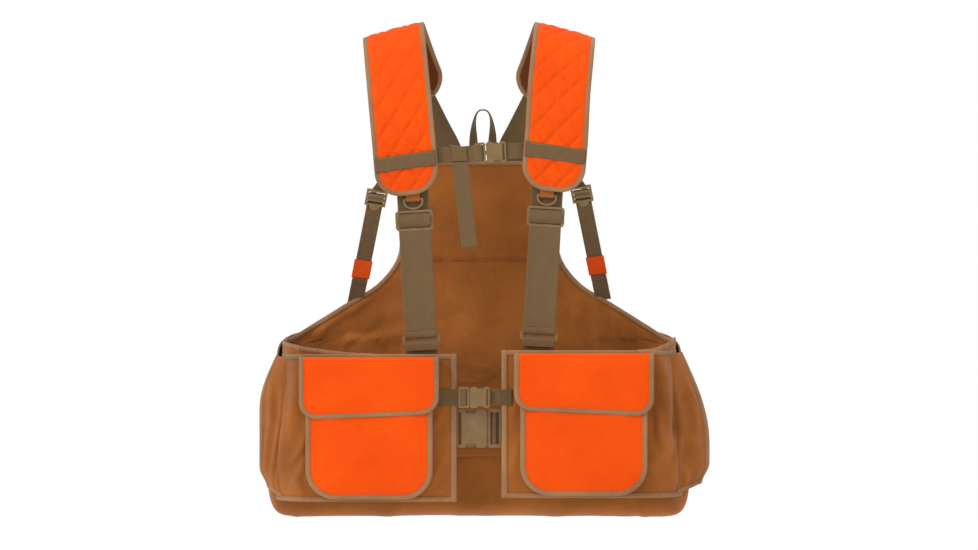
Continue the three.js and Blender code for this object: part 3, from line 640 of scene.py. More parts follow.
def makeFrontPanel(side):
    info = sides[side]
    place, width = panelPlace(side)
    folds = foldRelief(panelFolds[side], 1.5, 7.0 if side == "left" else 3.0)

    def relief(s, t):
        free = clamp(min(s, 40) / 40, 0, 1) * clamp((width - s) / 30, 0, 1)
        underPocket = 0.12 if 40 < s < 228 and t < body["panelHem"] - 4 else 1.0
        return folds(s, t) * free * underPocket

    surface = surfaceOf(place, flip=info["sign"] < 0, relief=relief)
    top, hem = body["panelTop"], body["panelHem"] + 2
    panel = clothPanel(f"front_panel_cloth_{side}", surface, lambda t: 0.6, lambda t: width + 3, top, hem,
                       78, 52, 1.5, [canvas, lining], "vest", "canvas", [f"front_panel_{side}"])
    loop = [(width - 4, top), (0.6, top), (0.6, hem), (width - 4, hem)]
    bindEdge(f"front_panel_top_binding_{side}", surface, loop[:2], (150, 600), body["cloth"], "vest")
    bindEdge(f"front_panel_hem_binding_{side}", surface, loop[2:], (150, 600), body["cloth"], "vest")
    bindEdge(f"front_panel_edge_binding_{side}", surface, [(0.2, top - 1.2), (0.2, hem + 1.2)], (150, 600),
             body["cloth"] + 0.8, "vest", width=8.4)
    bindEdge(f"side_seam_binding_{side}", surface, [(width + 2.4, top - 1), (width + 2.4, hem + 1)],
             (150, 600), body["cloth"], "vest")
    stitchRow(f"front_panel_stitch_{side}", surface, loop, body["cloth"] / 2 + 1.1, "vest", tanThread,
              shift=6.2, inside=(150, 600))


lip = {"top": 8.0, "edgeY": -24.0, "rise": 17.0, "tuck": 12.0, "width": 50.0}
lipFolds = {"right": [(10, 560, 22, 740, 5, 4.5), (30, 570, 34, 720, 6, 4.0), (44, 545, 16, 640, 5, 2.5),
                      (2, 600, 10, 735, 4, 3.0)], "left": [(8, 560, 6, 720, 5, 4.0),
                                                           (34, 560, 28, 700, 6, 5.0),
                                                           (20, 640, 42, 730, 6, 3.5),
                                                           (2, 690, 24, 738, 4, 3.5),
                                                           (44, 600, 40, 680, 4, 2.5)], }


def makeLip(side):
    # the panel's outer cloth runs on past the side seam as the front lip of the bag's side entry
    info = sides[side]

    def place(s, t):
        low = clamp((t - body["panelTop"]) / (body["panelHem"] - body["panelTop"]), 0, 1.02)
        turn = math.radians(50)
        startX = body["flatTo"] + (body["halfWidth"] - body["flatTo"] + 10 * low) * math.sin(turn)
        startY = -3 - (body["front"] - 3) * math.cos(turn)
        spread = math.sin(math.pi / 2 * min(low / info["lipFull"], 1))
        tuck = lip["tuck"] * ease((low - 0.85) / 0.15)
        endX = body["halfWidth"] + mix(lip["top"], info["lipReach"], spread) - tuck
        share = s / lip["width"]
        y = mix(startY, lip["edgeY"], share) - 4 * math.sin(math.pi * clamp(share, 0, 1))
        return Vector((info["sign"] * mix(startX, endX, share), y,
                       -t + info["hang"] + lip["rise"] * share * low))

    folds = foldRelief(lipFolds[side], 1.6, 17 + info["sign"], 30)

    def relief(s, t):
        return folds(s, t) * clamp((lip["width"] - s) / 14, 0.25, 1) * clamp((s + 6) / 10, 0, 1)

    surface = surfaceOf(place, flip=info["sign"] < 0, relief=relief)
    top, hem, wide = body["panelTop"] + 4, body["panelHem"] - 1, lip["width"]
    cloth = clothPanel(f"side_lip_cloth_{side}", surface, lambda t: -3, lambda t: wide, top, hem, 26, 60,
                       1.3, [canvas, lining], "vest", "canvas")
    bindEdge(f"side_lip_edge_binding_{side}", surface, [(wide, top - 0.5), (wide, hem + 0.5)], (0, 640), 1.8,
             "vest", width=5.5)
    bindEdge(f"side_lip_hem_binding_{side}", surface, [(1, hem), (wide, hem)], (20, 640), 1.8, "vest",
             width=6.5)


def makeSideBand(side):
    # the wing's bound top edge comes round to the front behind the panel and is tacked to it
    info = sides[side]
    place, width = panelPlace(side)
    far = width + 1.2
    near = info["bandEnd"] - body["panelGap"] / 2
    rise = 19.0

    def inner(s, t):
        spot = place(s, t)
        inwards = clamp((far - s) / 60, 0.15, 1) * 4.0
        return spot + Vector((0, inwards if s < 240 else inwards * 0.6, 0))

    def topAt(s):
        share = clamp((s - near) / (far - near), 0, 1)
        return body["panelTop"] - 1 - rise * ease(share)

    surface = surfaceOf(inner, flip=info["sign"] < 0, relief=foldRelief([(near, 505, far, 515, 9, 1.0)], 1.2,
                                                                        41))
    line = [(mix(near, far, i / 16), topAt(mix(near, far, i / 16))) for i in range(17)]
    rows = 6

    def mapping(column, row):
        s = mix(near, far, column / 32)
        t = mix(topAt(s), body["panelTop"] + 16, row / rows)
        return surface(s, t), (s, t)

    bm = faceOutwards(mappedGrid(32, rows, mapping), surface, (near + far) / 2, body["panelTop"])
    cloth = addPiece(f"side_band_cloth_{side}", bm, [canvas], "vest", "canvas")
    thicken(cloth, 1.3)
    bindEdge(f"side_band_binding_{side}", surface, line, (near + 40, body["panelTop"] + 20), 1.6, "vest")
    for index, share in enumerate((0.42, 0.58)):
        s = mix(near, far, share)
        top = topAt(s)
        stitchRow(f"side_band_tack_{side}_{index}", surface, [(s, top + 0.6), (s, top + 7)], 1.7, "vest",
                  brownThread, pitch=1.1, girth=0.8)


# pockets

pocket = {"width": 196.0, "height": 216.0, "depth": 24.0, "corner": 45.0, "gap": 3.4, "mouth": 9.0}
flap = {"width": 217.0, "height": 98.0, "corner": 28.0, "slope": 0.075}


def roundedHalf(half, corner, fromEnd):
    rounding = clamp(1 - fromEnd / corner, 0, 1)
    return half - corner * (1 - math.sqrt(max(0, 1 - rounding * rounding)))


def outlineOf(half, start, end, corner, roundStart=False):
    # flat outline of a cut with round corners at its far end, one side then the other
    rows = []
    count = 12
    straightTo = end - corner
    begin = start + (corner if roundStart else 0)
    if roundStart:
        rows += [start + corner * (1 - math.cos(math.pi / 2 * i / count)) for i in range(count)]
    rows += [mix(begin, straightTo, i / 6) for i in range(7)]
    rows += [end - corner * (1 - math.sin(math.pi / 2 * i / count)) for i in range(1, count + 1)]

    def halfAt(t):
        width = roundedHalf(half, corner, end - t)
        return min(width, roundedHalf(half, corner, t - start)) if roundStart else width

    return [(-halfAt(t), t) for t in rows], [(halfAt(t), t) for t in reversed(rows)], halfAt


def makePocket(side):
    info = sides[side]
    centre = info["sign"] * info["pocketX"]
    mouth = body["panelTop"] - info["hang"] + pocket["mouth"]
    back = -body["front"] - body["cloth"] / 2 - pocket["gap"]
    front = back - pocket["depth"]
    half = pocket["width"] / 2
    puff = foldRelief([(-60, 190, 20, 120, 14, 1.4), (40, 60, 70, 180, 14, 1.2)], 1.3, 11.0 + centre)

    def place(s, t):
        return Vector((centre + s, front, -mouth - t))

    left, right, halfAt = outlineOf(half, 0, pocket["height"], pocket["corner"])

    def relief(s, t):
        edge = clamp(min(halfAt(t) - abs(s), pocket["height"] - t) / 34, 0, 1)
        return -1.2 + (3.4 + puff(s, t)) * ease(edge) * ease((t - 50) / 60)

    surface = surfaceOf(place, relief=relief)
    face = clothPanel(f"pocket_face_{side}", surface, lambda t: -halfAt(t), halfAt, 0, pocket["height"], 48,
                      60, 1.2, [orange, lining], "vest", "orange_cloth", [f"pocket_{side}"],
                      spread=lambda v: 1 - (1 - v) ** 1.4)
    bindEdge(f"pocket_binding_{side}", surface, left + right, (0, 60), 1.4, "vest")
    bindEdge(f"pocket_mouth_binding_{side}", surface, [(-half + 4, 0.5), (half - 4, 0.5)], (0, 60), 1.2,
             "vest", width=5)
    stitchRow(f"pocket_stitch_{side}", surface, left + right, 1.6, "vest", tanThread, shift=6.2,
              inside=(0, 60))

    # the gusset runs round the pocket's edge from the panel to its face
    rim = evenly(left + right, 6)
    frames = edgeFrames(rim, False)
    deep = 8

    def gusset(column, row):
        spot, sideways = frames[row]
        share = column / deep
        belly = 2.2 * math.sin(math.pi * share)
        flat = spot + sideways * (-1.0 + belly) * (1 if sideways.dot(Vector((0, 100)) - spot) < 0 else -1)
        wave = 0.8 * noise.noise(Vector((row * 0.35, share * 2, centre)))
        return Vector((centre + flat.x, mix(back + 0.6, front + 1.4, share) + wave,
                       -mouth - flat.y)), (share * 24, row * 6)

    bm = mappedGrid(deep, len(frames) - 1, gusset)
    wall = addPiece(f"pocket_gusset_{side}", bm, [canvas], "vest", "canvas")
    thicken(wall, 1.2)


def makeFlap(side):
    info = sides[side]
    centre = info["sign"] * info["pocketX"]
    mouth = body["panelTop"] - info["hang"] + pocket["mouth"]
    back = -body["front"] - body["cloth"] / 2 - pocket["gap"]
    front = back - pocket["depth"] - 3
    foldTop = 6
    points = [(0, -body["front"] - body["cloth"] / 2 - 2.3, foldTop - 2),
              (0, (back + front) / 2, foldTop - 0.9),
              (0, front + 5, foldTop - 0.9), (0, front + 1.3, foldTop - 3), (0, front, foldTop - 8),
              (0, front - 0.6, -flap["height"] / 2), (0, front, foldTop - flap["height"])]
    at, length = makePath(points)

    def place(s, t):
        # the hem slopes up a little towards the buckles
        slope = 1 - flap["slope"] * clamp(0.5 - info["sign"] * s / flap["width"], 0, 1)
        p = at(t * (slope if t > 30 else mix(1, slope, clamp(t / 30, 0, 1))))
        return Vector((centre + s, p.y, -mouth + p.z))

    left, right, halfAt = outlineOf(flap["width"] / 2, 0, length, flap["corner"])
    sway = foldRelief([(-70, 60, 10, 118, 20, 1.0), (60, 40, 90, 120, 14, 0.9)], 1.4, 21 + centre)

    def relief(s, t):
        return sway(s, t) * clamp((t - 30) / 30, 0, 1) - 0.3 - 0.9 * clamp((22 - t) / 12, 0, 1)

    surface = surfaceOf(place, relief=relief)
    sheetPiece = clothPanel(f"flap_cloth_{side}", surface, lambda t: -halfAt(t), halfAt, 0, length, 52, 56,
                            1.3, [orange, lining], f"flap_{side}", "orange_cloth", [f"pocket_flap_{side}"],
                            spread=lambda v: 1 - (1 - v) ** 1.3)
    left, right, _ = outlineOf(flap["width"] / 2, 10, length, flap["corner"])
    bindEdge(f"flap_binding_{side}", surface, left + right, (0, 50), 1.5, f"flap_{side}")
    left, right, _ = outlineOf(flap["width"] / 2, 16, length, flap["corner"])
    stitchRow(f"flap_stitch_{side}", surface, left + right, 1.65, f"flap_{side}", tanThread, shift=6.2,
              inside=(0, 50))


# game bag

bag = {"top": 470.0, "dip": 48.0, "full": 620.0, "bottom": 777.0, "turn": 24.0, "depth": 78.0,
       "overhang": 34.0,
       "lap": 646.0, "sideRise": 50.0}


def makeGameBag():
    innerHalf = body["halfWidth"] + body["cloth"] + 1.5
    innerBack = body["back"] + body["cloth"] + 1.5
    outerArch = archTable(innerHalf + bag["overhang"] - 4, innerBack + bag["depth"] - 4, 2.7)
    outerReach = outerArch[-1][0]

    def archPoint(share, halfWidth, depth, roundness):
        # share from -1 (right side seam) to 1 by arc length of the full bag
        s = clamp(abs(share), 0, 1) * outerReach
        x = lookUp(outerArch, 0, s, 1) / outerArch[-1][1]
        cosine = clamp(x, 0, 1) ** (2.7 / 2)
        sine = math.sqrt(max(0, 1 - cosine * cosine))
        return Vector((math.copysign(halfWidth * cosine ** (2 / roundness), share),
                       depth * sine ** (2 / roundness), 0))

    sag = foldRelief([(-560, 40, -380, 240, 16, 6.0), (-440, 60, -400, 250, 14, 5.0),
                      (430, 60, 400, 250, 15, 5.5),
                      (540, 60, 420, 230, 16, 6.0), (-300, 60, -200, 260, 22, 6), (310, 80, 230, 260, 22, 6),
                      (-120, 60, -60, 240, 24, 5), (90, 70, 140, 250, 24, 5), (-30, 90, 20, 260, 20, 4),
                      (-220, 250, 0, 285, 14, 3.5), (60, 285, 260, 250, 14, 3.5),
                      (-470, 270, -350, 300, 10, 4),
                      (-470, 300, -400, 372, 9, 3.4), (-330, 296, -318, 372, 8, 3.6),
                      (-180, 300, -110, 352, 10, 3.5),
                      (60, 300, 190, 345, 11, 3.5), (290, 300, 262, 372, 8, 3.4),
                      (470, 300, 420, 372, 9, 3.4),
                      (-40, 310, 30, 372, 9, 3.0)],
                     4.0, 31.0, 90)

    def place(s, t):
        # t runs down the outside, under the bottom and up the inside
        share = clamp(s / outerReach, -1, 1)
        edge = abs(share) ** 6
        top = bag["top"] + bag["dip"] * edge
        turn = bag["bottom"] - bag["turn"] - bag["sideRise"] * abs(share) ** 14
        fall = turn - top
        bottomRun = 66.0
        inner = archPoint(share, innerHalf, innerBack, 3)

        def outer(drop):
            fill = clamp((drop - top) / (bag["full"] - top), 0, 1)
            full = math.sin(fill * math.pi / 2)
            return archPoint(share, innerHalf + 5 + (bag["overhang"] - 19) * full,
                             innerBack + 5 + (bag["depth"] - 9) * full, 2.7)

        if t < 280:
            drop = top + fall * t / 280
            return outer(drop) + Vector((0, 0, -drop))
        if t < 280 + bottomRun:
            angle = (t - 280) / bottomRun * math.pi
            point = outer(turn).lerp(inner, (1 - math.cos(angle)) / 2)
            return point + Vector((0, 0, -turn - bag["turn"] * math.sin(angle)))
        drop = mix(turn, bag["lap"], clamp((t - 280 - bottomRun) / 107, 0, 1))
        return inner + Vector((0, 0, -drop))

    def relief(s, t):
        calm = clamp((outerReach - abs(s)) / 50, 0, 1) * clamp(t / 40, 0, 1) * clamp((400 - t) / 40, 0.12, 1)
        under = clamp(1 - abs(t - 313) / 55, 0, 1)
        return sag(s, t) * calm * (1 - 0.72 * under)

    surface = surfaceOf(place, flip=True, relief=relief)
    depthRun = 453.0
    cloth = clothPanel("bag_cloth", surface, lambda t: -outerReach + 0.5, lambda t: outerReach - 0.5, 0.5,
                       depthRun, 170, 96, 1.4, [canvas, lining], "vest", "canvas", ["game_bag"])
    for sign in (-1, 1):
        edge = [(sign * (outerReach - 1), 2), (sign * (outerReach - 1), 283)]
        bindEdge(f"bag_edge_binding_{sign + 1}", surface, edge, (0, 100), 1.8, "vest")
        stitchRow(f"bag_edge_stitch_{sign + 1}", surface, edge, 1.9, "vest", tanThread, shift=6.2,
                  inside=(0, 100))
    topEdge = [(-outerReach + 2, 1), (outerReach - 2, 1)]
    bindEdge("bag_top_binding", surface, topEdge, (0, 100), 1.8, "vest")
    stitchRow("bag_bottom_stitch", surface, [(-outerReach + 60, 262), (outerReach - 60, 262)], 1.0, "vest",
              brownThread, pitch=4)


makeBack()
for side in sides:
    makeFrontPanel(side)
    makeLip(side)
    makeSideBand(side)
    makePocket(side)
    makeFlap(side)
makeGameBag()
print("cloth body made")

# shoulder pads

pad = {"width": 98.0, "thickness": 9.0, "corner": 39.0, "diamond": 47.0, "channel": 2.4, "band": 23.0}


def padSurface(side):
    info = sides[side]
    points = [(info["padEndX"], -84, -262 + info["hang"]), (info["padEndX"] + 7, -86, -180), (126, -78, -96),
              (133, -48, -28), (136, 0, 0), (129, 38, -18), (113, 60, -62), (92, 68, -112)]
    at, length = makePath([(info["sign"] * x, y, z) for x, y, z in points])
    crest = 0.66

    def place(s, t):
        share = clamp(t / length, 0, 1)
        degrees = mix(6.4, 15, share / crest) if share < crest else mix(15, 28,
                                                                        (share - crest) / (1 - crest))
        angle = -info["sign"] * math.radians(degrees)
        overrun = t - clamp(t, 0, length)
        along = (at(0) - at(2)).normalized() if overrun < 0 else (at(length) - at(length - 2)).normalized()
        return at(t) + along * abs(overrun) + Vector((math.cos(angle), 0, math.sin(angle))) * s

    return surfaceOf(place, flip=True), length


def makePad(side):
    surface, length = padSurface(side)
    half = pad["width"] / 2
    left, right, halfAt = outlineOf(half, 0, length, pad["corner"], roundStart=True)

    def edgeOf(s, t):
        # how far a point lies inside the pad's rounded outline
        across = pad["corner"] - (half - abs(s))
        along = pad["corner"] - min(t, length - t)
        if across > 0 and along > 0:
            return pad["corner"] - math.hypot(across, along)
        return min(half - abs(s), t, length - t)

    def quilt(s, t):
        # sewn diamonds: 0 on the stitch lines, 1 in the middle of each diamond
        slope = 1.25
        a = (t + slope * s) / pad["diamond"]
        b = (t - slope * s) / pad["diamond"]
        away = min(abs(a - round(a)), abs(b - round(b))) * pad["diamond"] / math.hypot(1, slope)
        return 1 - math.exp(-((away / 3.2) ** 2)) + 0.25 * ease(away / 15)

    def topLift(s, t):
        e = edgeOf(s, t)
        rise = 1 - math.exp(-max(e - 6, 0) / 5)
        uneven = 0.5 * noise.noise(Vector((s / 26, t / 30, 3 if side == "left" else 8)))
        return 1.4 + rise * (2.3 + uneven) + pad["channel"] * (quilt(s, t) - 1) * rise

    def underLift(s, t):
        rise = 1 - math.exp(-max(edgeOf(s, t) - 6, 0) / 8)
        return -1.4 - 2.6 * rise - 0.3 * noise.noise(Vector((s / 22, t / 25, 14)))

    rows, columns = 190, 44
    for name, lift, finish, slotName in (("pad_cover", topLift, orange, "orange_cloth"),
                                         ("pad_lining", underLift, lining, "lining")):
        def mapping(column, row):
            t = length * (row / rows - 0.05 * math.sin(2 * math.pi * row / rows))
            s = mix(-halfAt(t), halfAt(t), column / columns)
            return surface(s, t, lift(s, t)), (s, t)

        bm = faceOutwards(mappedGrid(columns, rows, mapping), surface, 0, length * 0.3)
        nodes = [f"shoulder_pad_{side}"] if finish is orange else []
        shell = addPiece(f"{name}_{side}", bm, [finish], "vest", slotName, nodes)
        thicken(shell, 0.8)
    bindEdge(f"pad_binding_{side}", surface, left + right, (0, length / 2), 3.0, "vest", closed=True)
    stitchRow(f"pad_stitch_{side}", surface, left + right, 2.3, "vest", tanThread, shift=6.3, closed=True,
              inside=(0, length / 2))

    # quilting thread in the channels
    slope = 1.25
    rowsOut = []
    for direction in (-1, 1):
        for index in range(-2, int(length / pad["diamond"]) + 3):
            line = []
            for step in range(-24, 25):
                s = step * 2.0
                t = index * pad["diamond"] + direction * slope * s
                if 6 < t < length - 6 and edgeOf(s, t) > 9:
                    line.append((s, t))
            if len(line) > 4:
                rowsOut.append(line)
    for index, line in enumerate(rowsOut):
        quilted = surfaceOf(lambda s, t: surface(s, t, topLift(s, t)), flip=True)
        stitchRow(f"quilt_stitch_{side}_{index}", quilted, [line[0], line[-1]], 0.5, "vest", orangeThread,
                  pitch=3.0, girth=0.4)

    # webbing band across the pad
    info = sides[side]
    bandAt = info["bandDrop"]

    def band(column, row):
        t = bandAt + (row / 8 - 0.5) * pad["band"]
        s = mix(-half + 1, half - 1, column / 30)
        rim = 0.25 if row in (0, 8) else 0
        return surface(s, t, topLift(s, t) * 0.35 + 3.4 - rim), (t, s)

    bm = mappedGrid(30, 8, band)
    strip = addPiece(f"pad_band_webbing_{side}", bm, [webbing], "vest", "webbing", [f"pad_band_{side}"])
    thicken(strip, 1.3)
    for offset in (-9.3, 9.3):
        stitchRow(f"band_stitch_{side}_{int(offset + 10)}", surface,
                  [(-half + 10, bandAt + offset), (half - 10, bandAt + offset)], 5.2, "vest", tanThread,
                  pitch=3.0, girth=0.4)


for side in sides:
    makePad(side)
print("shoulder pads made")

# harness

harness = {"wide": 50.0, "narrow": 25.0, "gauge": 1.9, "thin": 1.6, "lean": 3.3, "barY": -75.4,
           "ringDrop": 228.0}
wide, narrow, thin = harness["wide"], harness["narrow"], harness["thin"]


def tilted(origin, degrees):
    # a frame turned about y: put(x, y, z) places a point in it, and turn turns a direction
    start = Vector(origin)
    turn = Matrix.Rotation(math.radians(degrees), 3, "Y")

    def put(x, y, z):
        return start + turn @ Vector((x, y, z))

    return put, turn


def facing(place, outwards):
    # the flat surface of place(x, t), turned so that its lift goes outwards
    face = surfaceOf(place)
    if (face(0, 20, 1) - face(0, 20)).dot(outwards) < 0:
        face = surfaceOf(place, flip=True)
    return face


frontStrap = {"loopRadius": 3.15, "keeper": 14.0, "barGap": 1.9, "adjusterBottom": -56.3,
              "rollCentre": -40.3,
              "rollHalf": 10.6, "rollRise": 6.0, "tabWidth": 22.0, "tabHalf": 3.2, "tabFold": 10.2}


def makeFrontStrap(side):
    info = sides[side]
    put, turn = tilted((info["sign"] * (info["padEndX"] - 7), 0, -262 + info["hang"]),
                       info["sign"] * harness["lean"])
    across = lambda share: turn @ Vector((1, 0, 0))
    radius = frontStrap["loopRadius"]
    strapY = harness["barY"] + frontStrap["tabHalf"] + frontStrap["barGap"]
    keeperY = strapY - radius
    frontY = keeperY - radius
    top = -harness["ringDrop"] + 7
    turnZ = top - 2

    def layer(name, route, node, steps):
        points = [put(0, y, z) for y, z in route]
        strap(f"{name}_webbing_{side}", points, across, wide, harness["gauge"], "vest", [f"{node}_{side}"],
              steps=steps)

    layer("front_strap", [(strapY, 14), (strapY, -60), (strapY, -140), (strapY, turnZ + 8), (strapY, turnZ),
                          (keeperY, turnZ - radius), (frontY, turnZ), (frontY, turnZ + 9)], "front_strap",
          90)
    low = top - frontStrap["keeper"] + 2
    layer("anchor_strap", [(strapY, low - 30), (strapY, low - 12), (strapY, low), (keeperY, low + radius),
                           (frontY, low), (frontY, low - 12)], "anchor_strap", 50)
    # the return layer runs from the adjuster's bottom to the strap's loop, so a lower adjusterBottom leaves
    # it shorter
    adjusterBottom = frontStrap["adjusterBottom"]
    loopTop = turnZ + 8.4
    points = [put(0, keeperY - 0.8, adjusterBottom + 3), put(0, frontY - 0.6, adjusterBottom - 10),
              put(0, frontY - 1.0, -110), put(0, frontY - 0.9, -165), put(0, frontY - 0.2, loopTop)]
    returned = strap(f"strap_return_webbing_{side}", points, across, wide, harness["gauge"], None,
                     [f"strap_return_{side}"], steps=80, ripple=0.5, seed=4)
    put(0, frontY, loopTop) * mm
    put(0, frontY, adjusterBottom) * mm
    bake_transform(returned)
    # roll of webbing over the adjuster's middle bar
    adjusterY = strapY - 3.5
    roll = []
    for step in range(13):
        angle = math.pi * step / 12
        roll.append(put(0, adjusterY - frontStrap["rollRise"] * math.sin(angle) + 0.4,
                        frontStrap["rollCentre"] + frontStrap["rollHalf"] * math.cos(angle)))
    strap(f"adjuster_roll_webbing_{side}", roll, across, wide + 1.2, 1.7, f"adjuster_{side}",
          [f"adjuster_roll_{side}"], steps=36)
    # canvas tab folded round the ring's bar
    tab = frontStrap["tabHalf"]
    route = [(-tab, 11), (-tab, 2), (-tab, -7), (1 - tab, -9.4), (0, -frontStrap["tabFold"]),
             (tab - 1, -9.4),
             (tab, -7), (tab, 2), (tab, 11)]
    strap(f"ring_tab_cloth_{side}", [put(0, harness["barY"] + y, z) for y, z in route], across,
          frontStrap["tabWidth"], 1.2, "vest", [f"d_ring_tab_{side}"], steps=40, finish=canvas,
          slotName="canvas")
    for name in ("strap_adjuster", "lower_ring", "d_ring"):
        finishHardware(f"{name}_{side}", 1.1)


sideStrap = {"start": (159, -75, -254), "end": (197, 53.98, -424), "behindLock": -3.2,
             "tag": (142, 160, 178),
             "spare": 141.0}


def makeSideStrap(side):
    info = sides[side]
    sign, hang = info["sign"], info["hang"]
    start, end = (Vector((sign * x, y, z + hang)) for x, y, z in (sideStrap["start"], sideStrap["end"]))
    up = (start - end).normalized()
    level = (Vector((1, 0, 0)) - up * up.x).normalized()
    out = level.cross(up).normalized()
    if out.y > 0:
        out.negate()
    across = lambda share: level
    behind = out * sideStrap["behindLock"]

    def along(route):
        # points this far down the strap and this far out from it
        return [start - up * down + out * lift for down, lift in route]

    points = [start - up * 13.6 + behind, start - up * 40 + behind, start - up * 100 + behind + out * 1.5,
              start - up * 170 + behind, end + behind, end - up * 16 + behind * 1.6]
    strap(f"side_strap_webbing_{side}", points, across, narrow, thin, "vest", [f"side_strap_{side}"],
          steps=60)
    first, middle, last = sideStrap["tag"]
    strap(f"strap_tag_cloth_{side}", along([(first, -1.4), (middle, -1.2), (last, -1.4)]), across,
          narrow + 4, 1.2, "vest", [f"strap_tag_{side}"], steps=14, finish=orange, slotName="orange_cloth")
    # spare end doubled back over the front of the strap, and the strap's hem
    spare = along([(36, -1.2), (80, -0.6), (120, -1.0), (sideStrap["spare"], -1.2)])
    strap(f"side_strap_spare_{side}", spare, across, narrow - 0.6, 1.4, "vest", steps=30)
    strap(f"side_strap_hem_{side}", along([(179, -1.2), (188, -1.2)]), across, narrow, 2.2, "vest", steps=4)
    loop = [(143, -74.5, -228), (150, -74.5, -240), (157, -72.6, -250), (159.5, -70.0, -258)]
    strap(f"lock_loop_webbing_{side}", [(sign * x, y, z + hang) for x, y, z in loop],
          lambda share: Vector((1, 0, -sign * 0.35)), narrow - 1, 1.3, "vest", [f"lock_loop_{side}"],
          steps=16)
    # the tag's stitching, and webbing woven through the lock's bars
    tagFace = facing(lambda x, t: start - up * t + level * x, out)
    boxStitch(f"tag_box_{side}", tagFace, (0, middle), 10, 14, -0.4, "vest", tanThread)
    weave = along([(8.5, -2.4), (11.5, 0.4), (15.5, 2.6), (19.5, 0.4), (23, -2.2)])
    strap(f"lock_weave_{side}", weave, across, narrow - 1, 1.1, f"lock_{side}", steps=24)
    finishHardware(f"ladder_lock_{side}", 0.8)


backStrap = {"leanTop": 28.0, "leanEnd": 17.0, "standOff": 3.1, "boxDown": 24.0}


def makeBackStrap(side):
    sign = sides[side]["sign"]
    behind = body["back"] + backStrap["standOff"]

    def lean(share):
        angle = math.radians(mix(backStrap["leanTop"], backStrap["leanEnd"], share))
        return Vector((math.cos(angle), 0, -sign * math.sin(angle)))

    points = [(98, 63.0, -101), (91, 68.6, -114.5), (72, behind - 1, -152), (54, behind, -187),
              (42, behind, -228)]
    strap(f"back_strap_webbing_{side}", [(sign * x, y, z) for x, y, z in points], lean, wide,
          harness["gauge"],
          "vest", [f"back_strap_{side}"], steps=40, ripple=0.5, seed=9)
    # box stitch that holds the strap's end to the yoke, in the strap's own lean
    corner = Vector((sign * 54, behind, -187))
    down = Vector((-sign * 12, 0, -41)).normalized()
    level = Vector((-down.z, 0, down.x))
    sewn = facing(lambda x, t: corner + level * x + down * t, Vector((0, 1, 0)))
    boxStitch(f"back_strap_box_{side}", sewn, (0, backStrap["boxDown"]), 19, 14, 1.2, "vest", tanThread)


chestStrap = {"centre": (11.5, -77.5, -196), "lean": -3.5, "reach": (-112, 88), "foldX": -42.6,
              "foldLean": 14.0,
              "tailLean": -6.9, "tailLength": 134.0}
# narrow webbing goes over a plug's bars, as (x from the plug's mouth, y)
overPlug = [(-15, -2.8), (-11, -3.4), (-7, -2.8), (-4.6, 0.4)]


def makeChestStrap():
    put, turn = tilted(chestStrap["centre"], chestStrap["lean"])
    upward = turn @ Vector((0, 0, 1))
    across = lambda share: upward
    right, left = chestStrap["reach"]
    route = [(right, 0), (-80, 0), (-50, 0), (-20, 0)] + overPlug
    strap("chest_strap_webbing_right", [put(x, y, 0) for x, y in route], across, narrow, thin, "chest_plug",
          ["chest_strap_right"], steps=60)
    route = [(29.5, 0), (34, 0), (60, 0.4), (left, 0)]
    strap("chest_strap_webbing_left", [put(x, y, 0) for x, y in route], across, narrow, thin, "vest",
          ["chest_strap_left"], steps=30)
    # the spare end: folded over the strap, then hanging in front
    foldX = chestStrap["foldX"]
    half = narrow / 2
    corner = [(foldX - 4, 1.4, half - 2), (foldX - 3, 0.2, half + 1.0), (foldX - 1, -1.9, half - 0.5),
              (foldX - 0.5, -2.3, 4), (foldX, -2.4, -half + 1.5)]
    lean = math.tan(math.radians(chestStrap["foldLean"]))
    strap("chest_fold_webbing", [put(*spot) for spot in corner],
          lambda share: turn @ Vector((1, 0, -lean * (1 - share))), narrow, 1.5, "chest_plug",
          ["chest_strap_fold"], steps=26)
    length = chestStrap["tailLength"]
    lowPut, lowTurn = tilted(put(foldX, -2.4, -half - 0.5), chestStrap["tailLean"])
    tail = [(0, 0, 0), (0.5, -0.9, -30), (0, -0.6, -70), (-0.5, 0.3, -105), (0, 0, -length)]
    piece = strap("chest_tail_webbing", [lowPut(*spot) for spot in tail],
                  lambda share: lowTurn @ Vector((1, 0, 0)), narrow, thin, "chest_tail",
                  ["chest_strap_tail"],
                  steps=70, ripple=0.7, seed=12, hem=True)


bellyStrap = {"centre": (-14, -84.8, -580), "reach": (-86, 66), "boxAt": (56, -76)}
waistBelt = {"centre": (12.5, -66.5, -629), "reach": (-165, 140)}


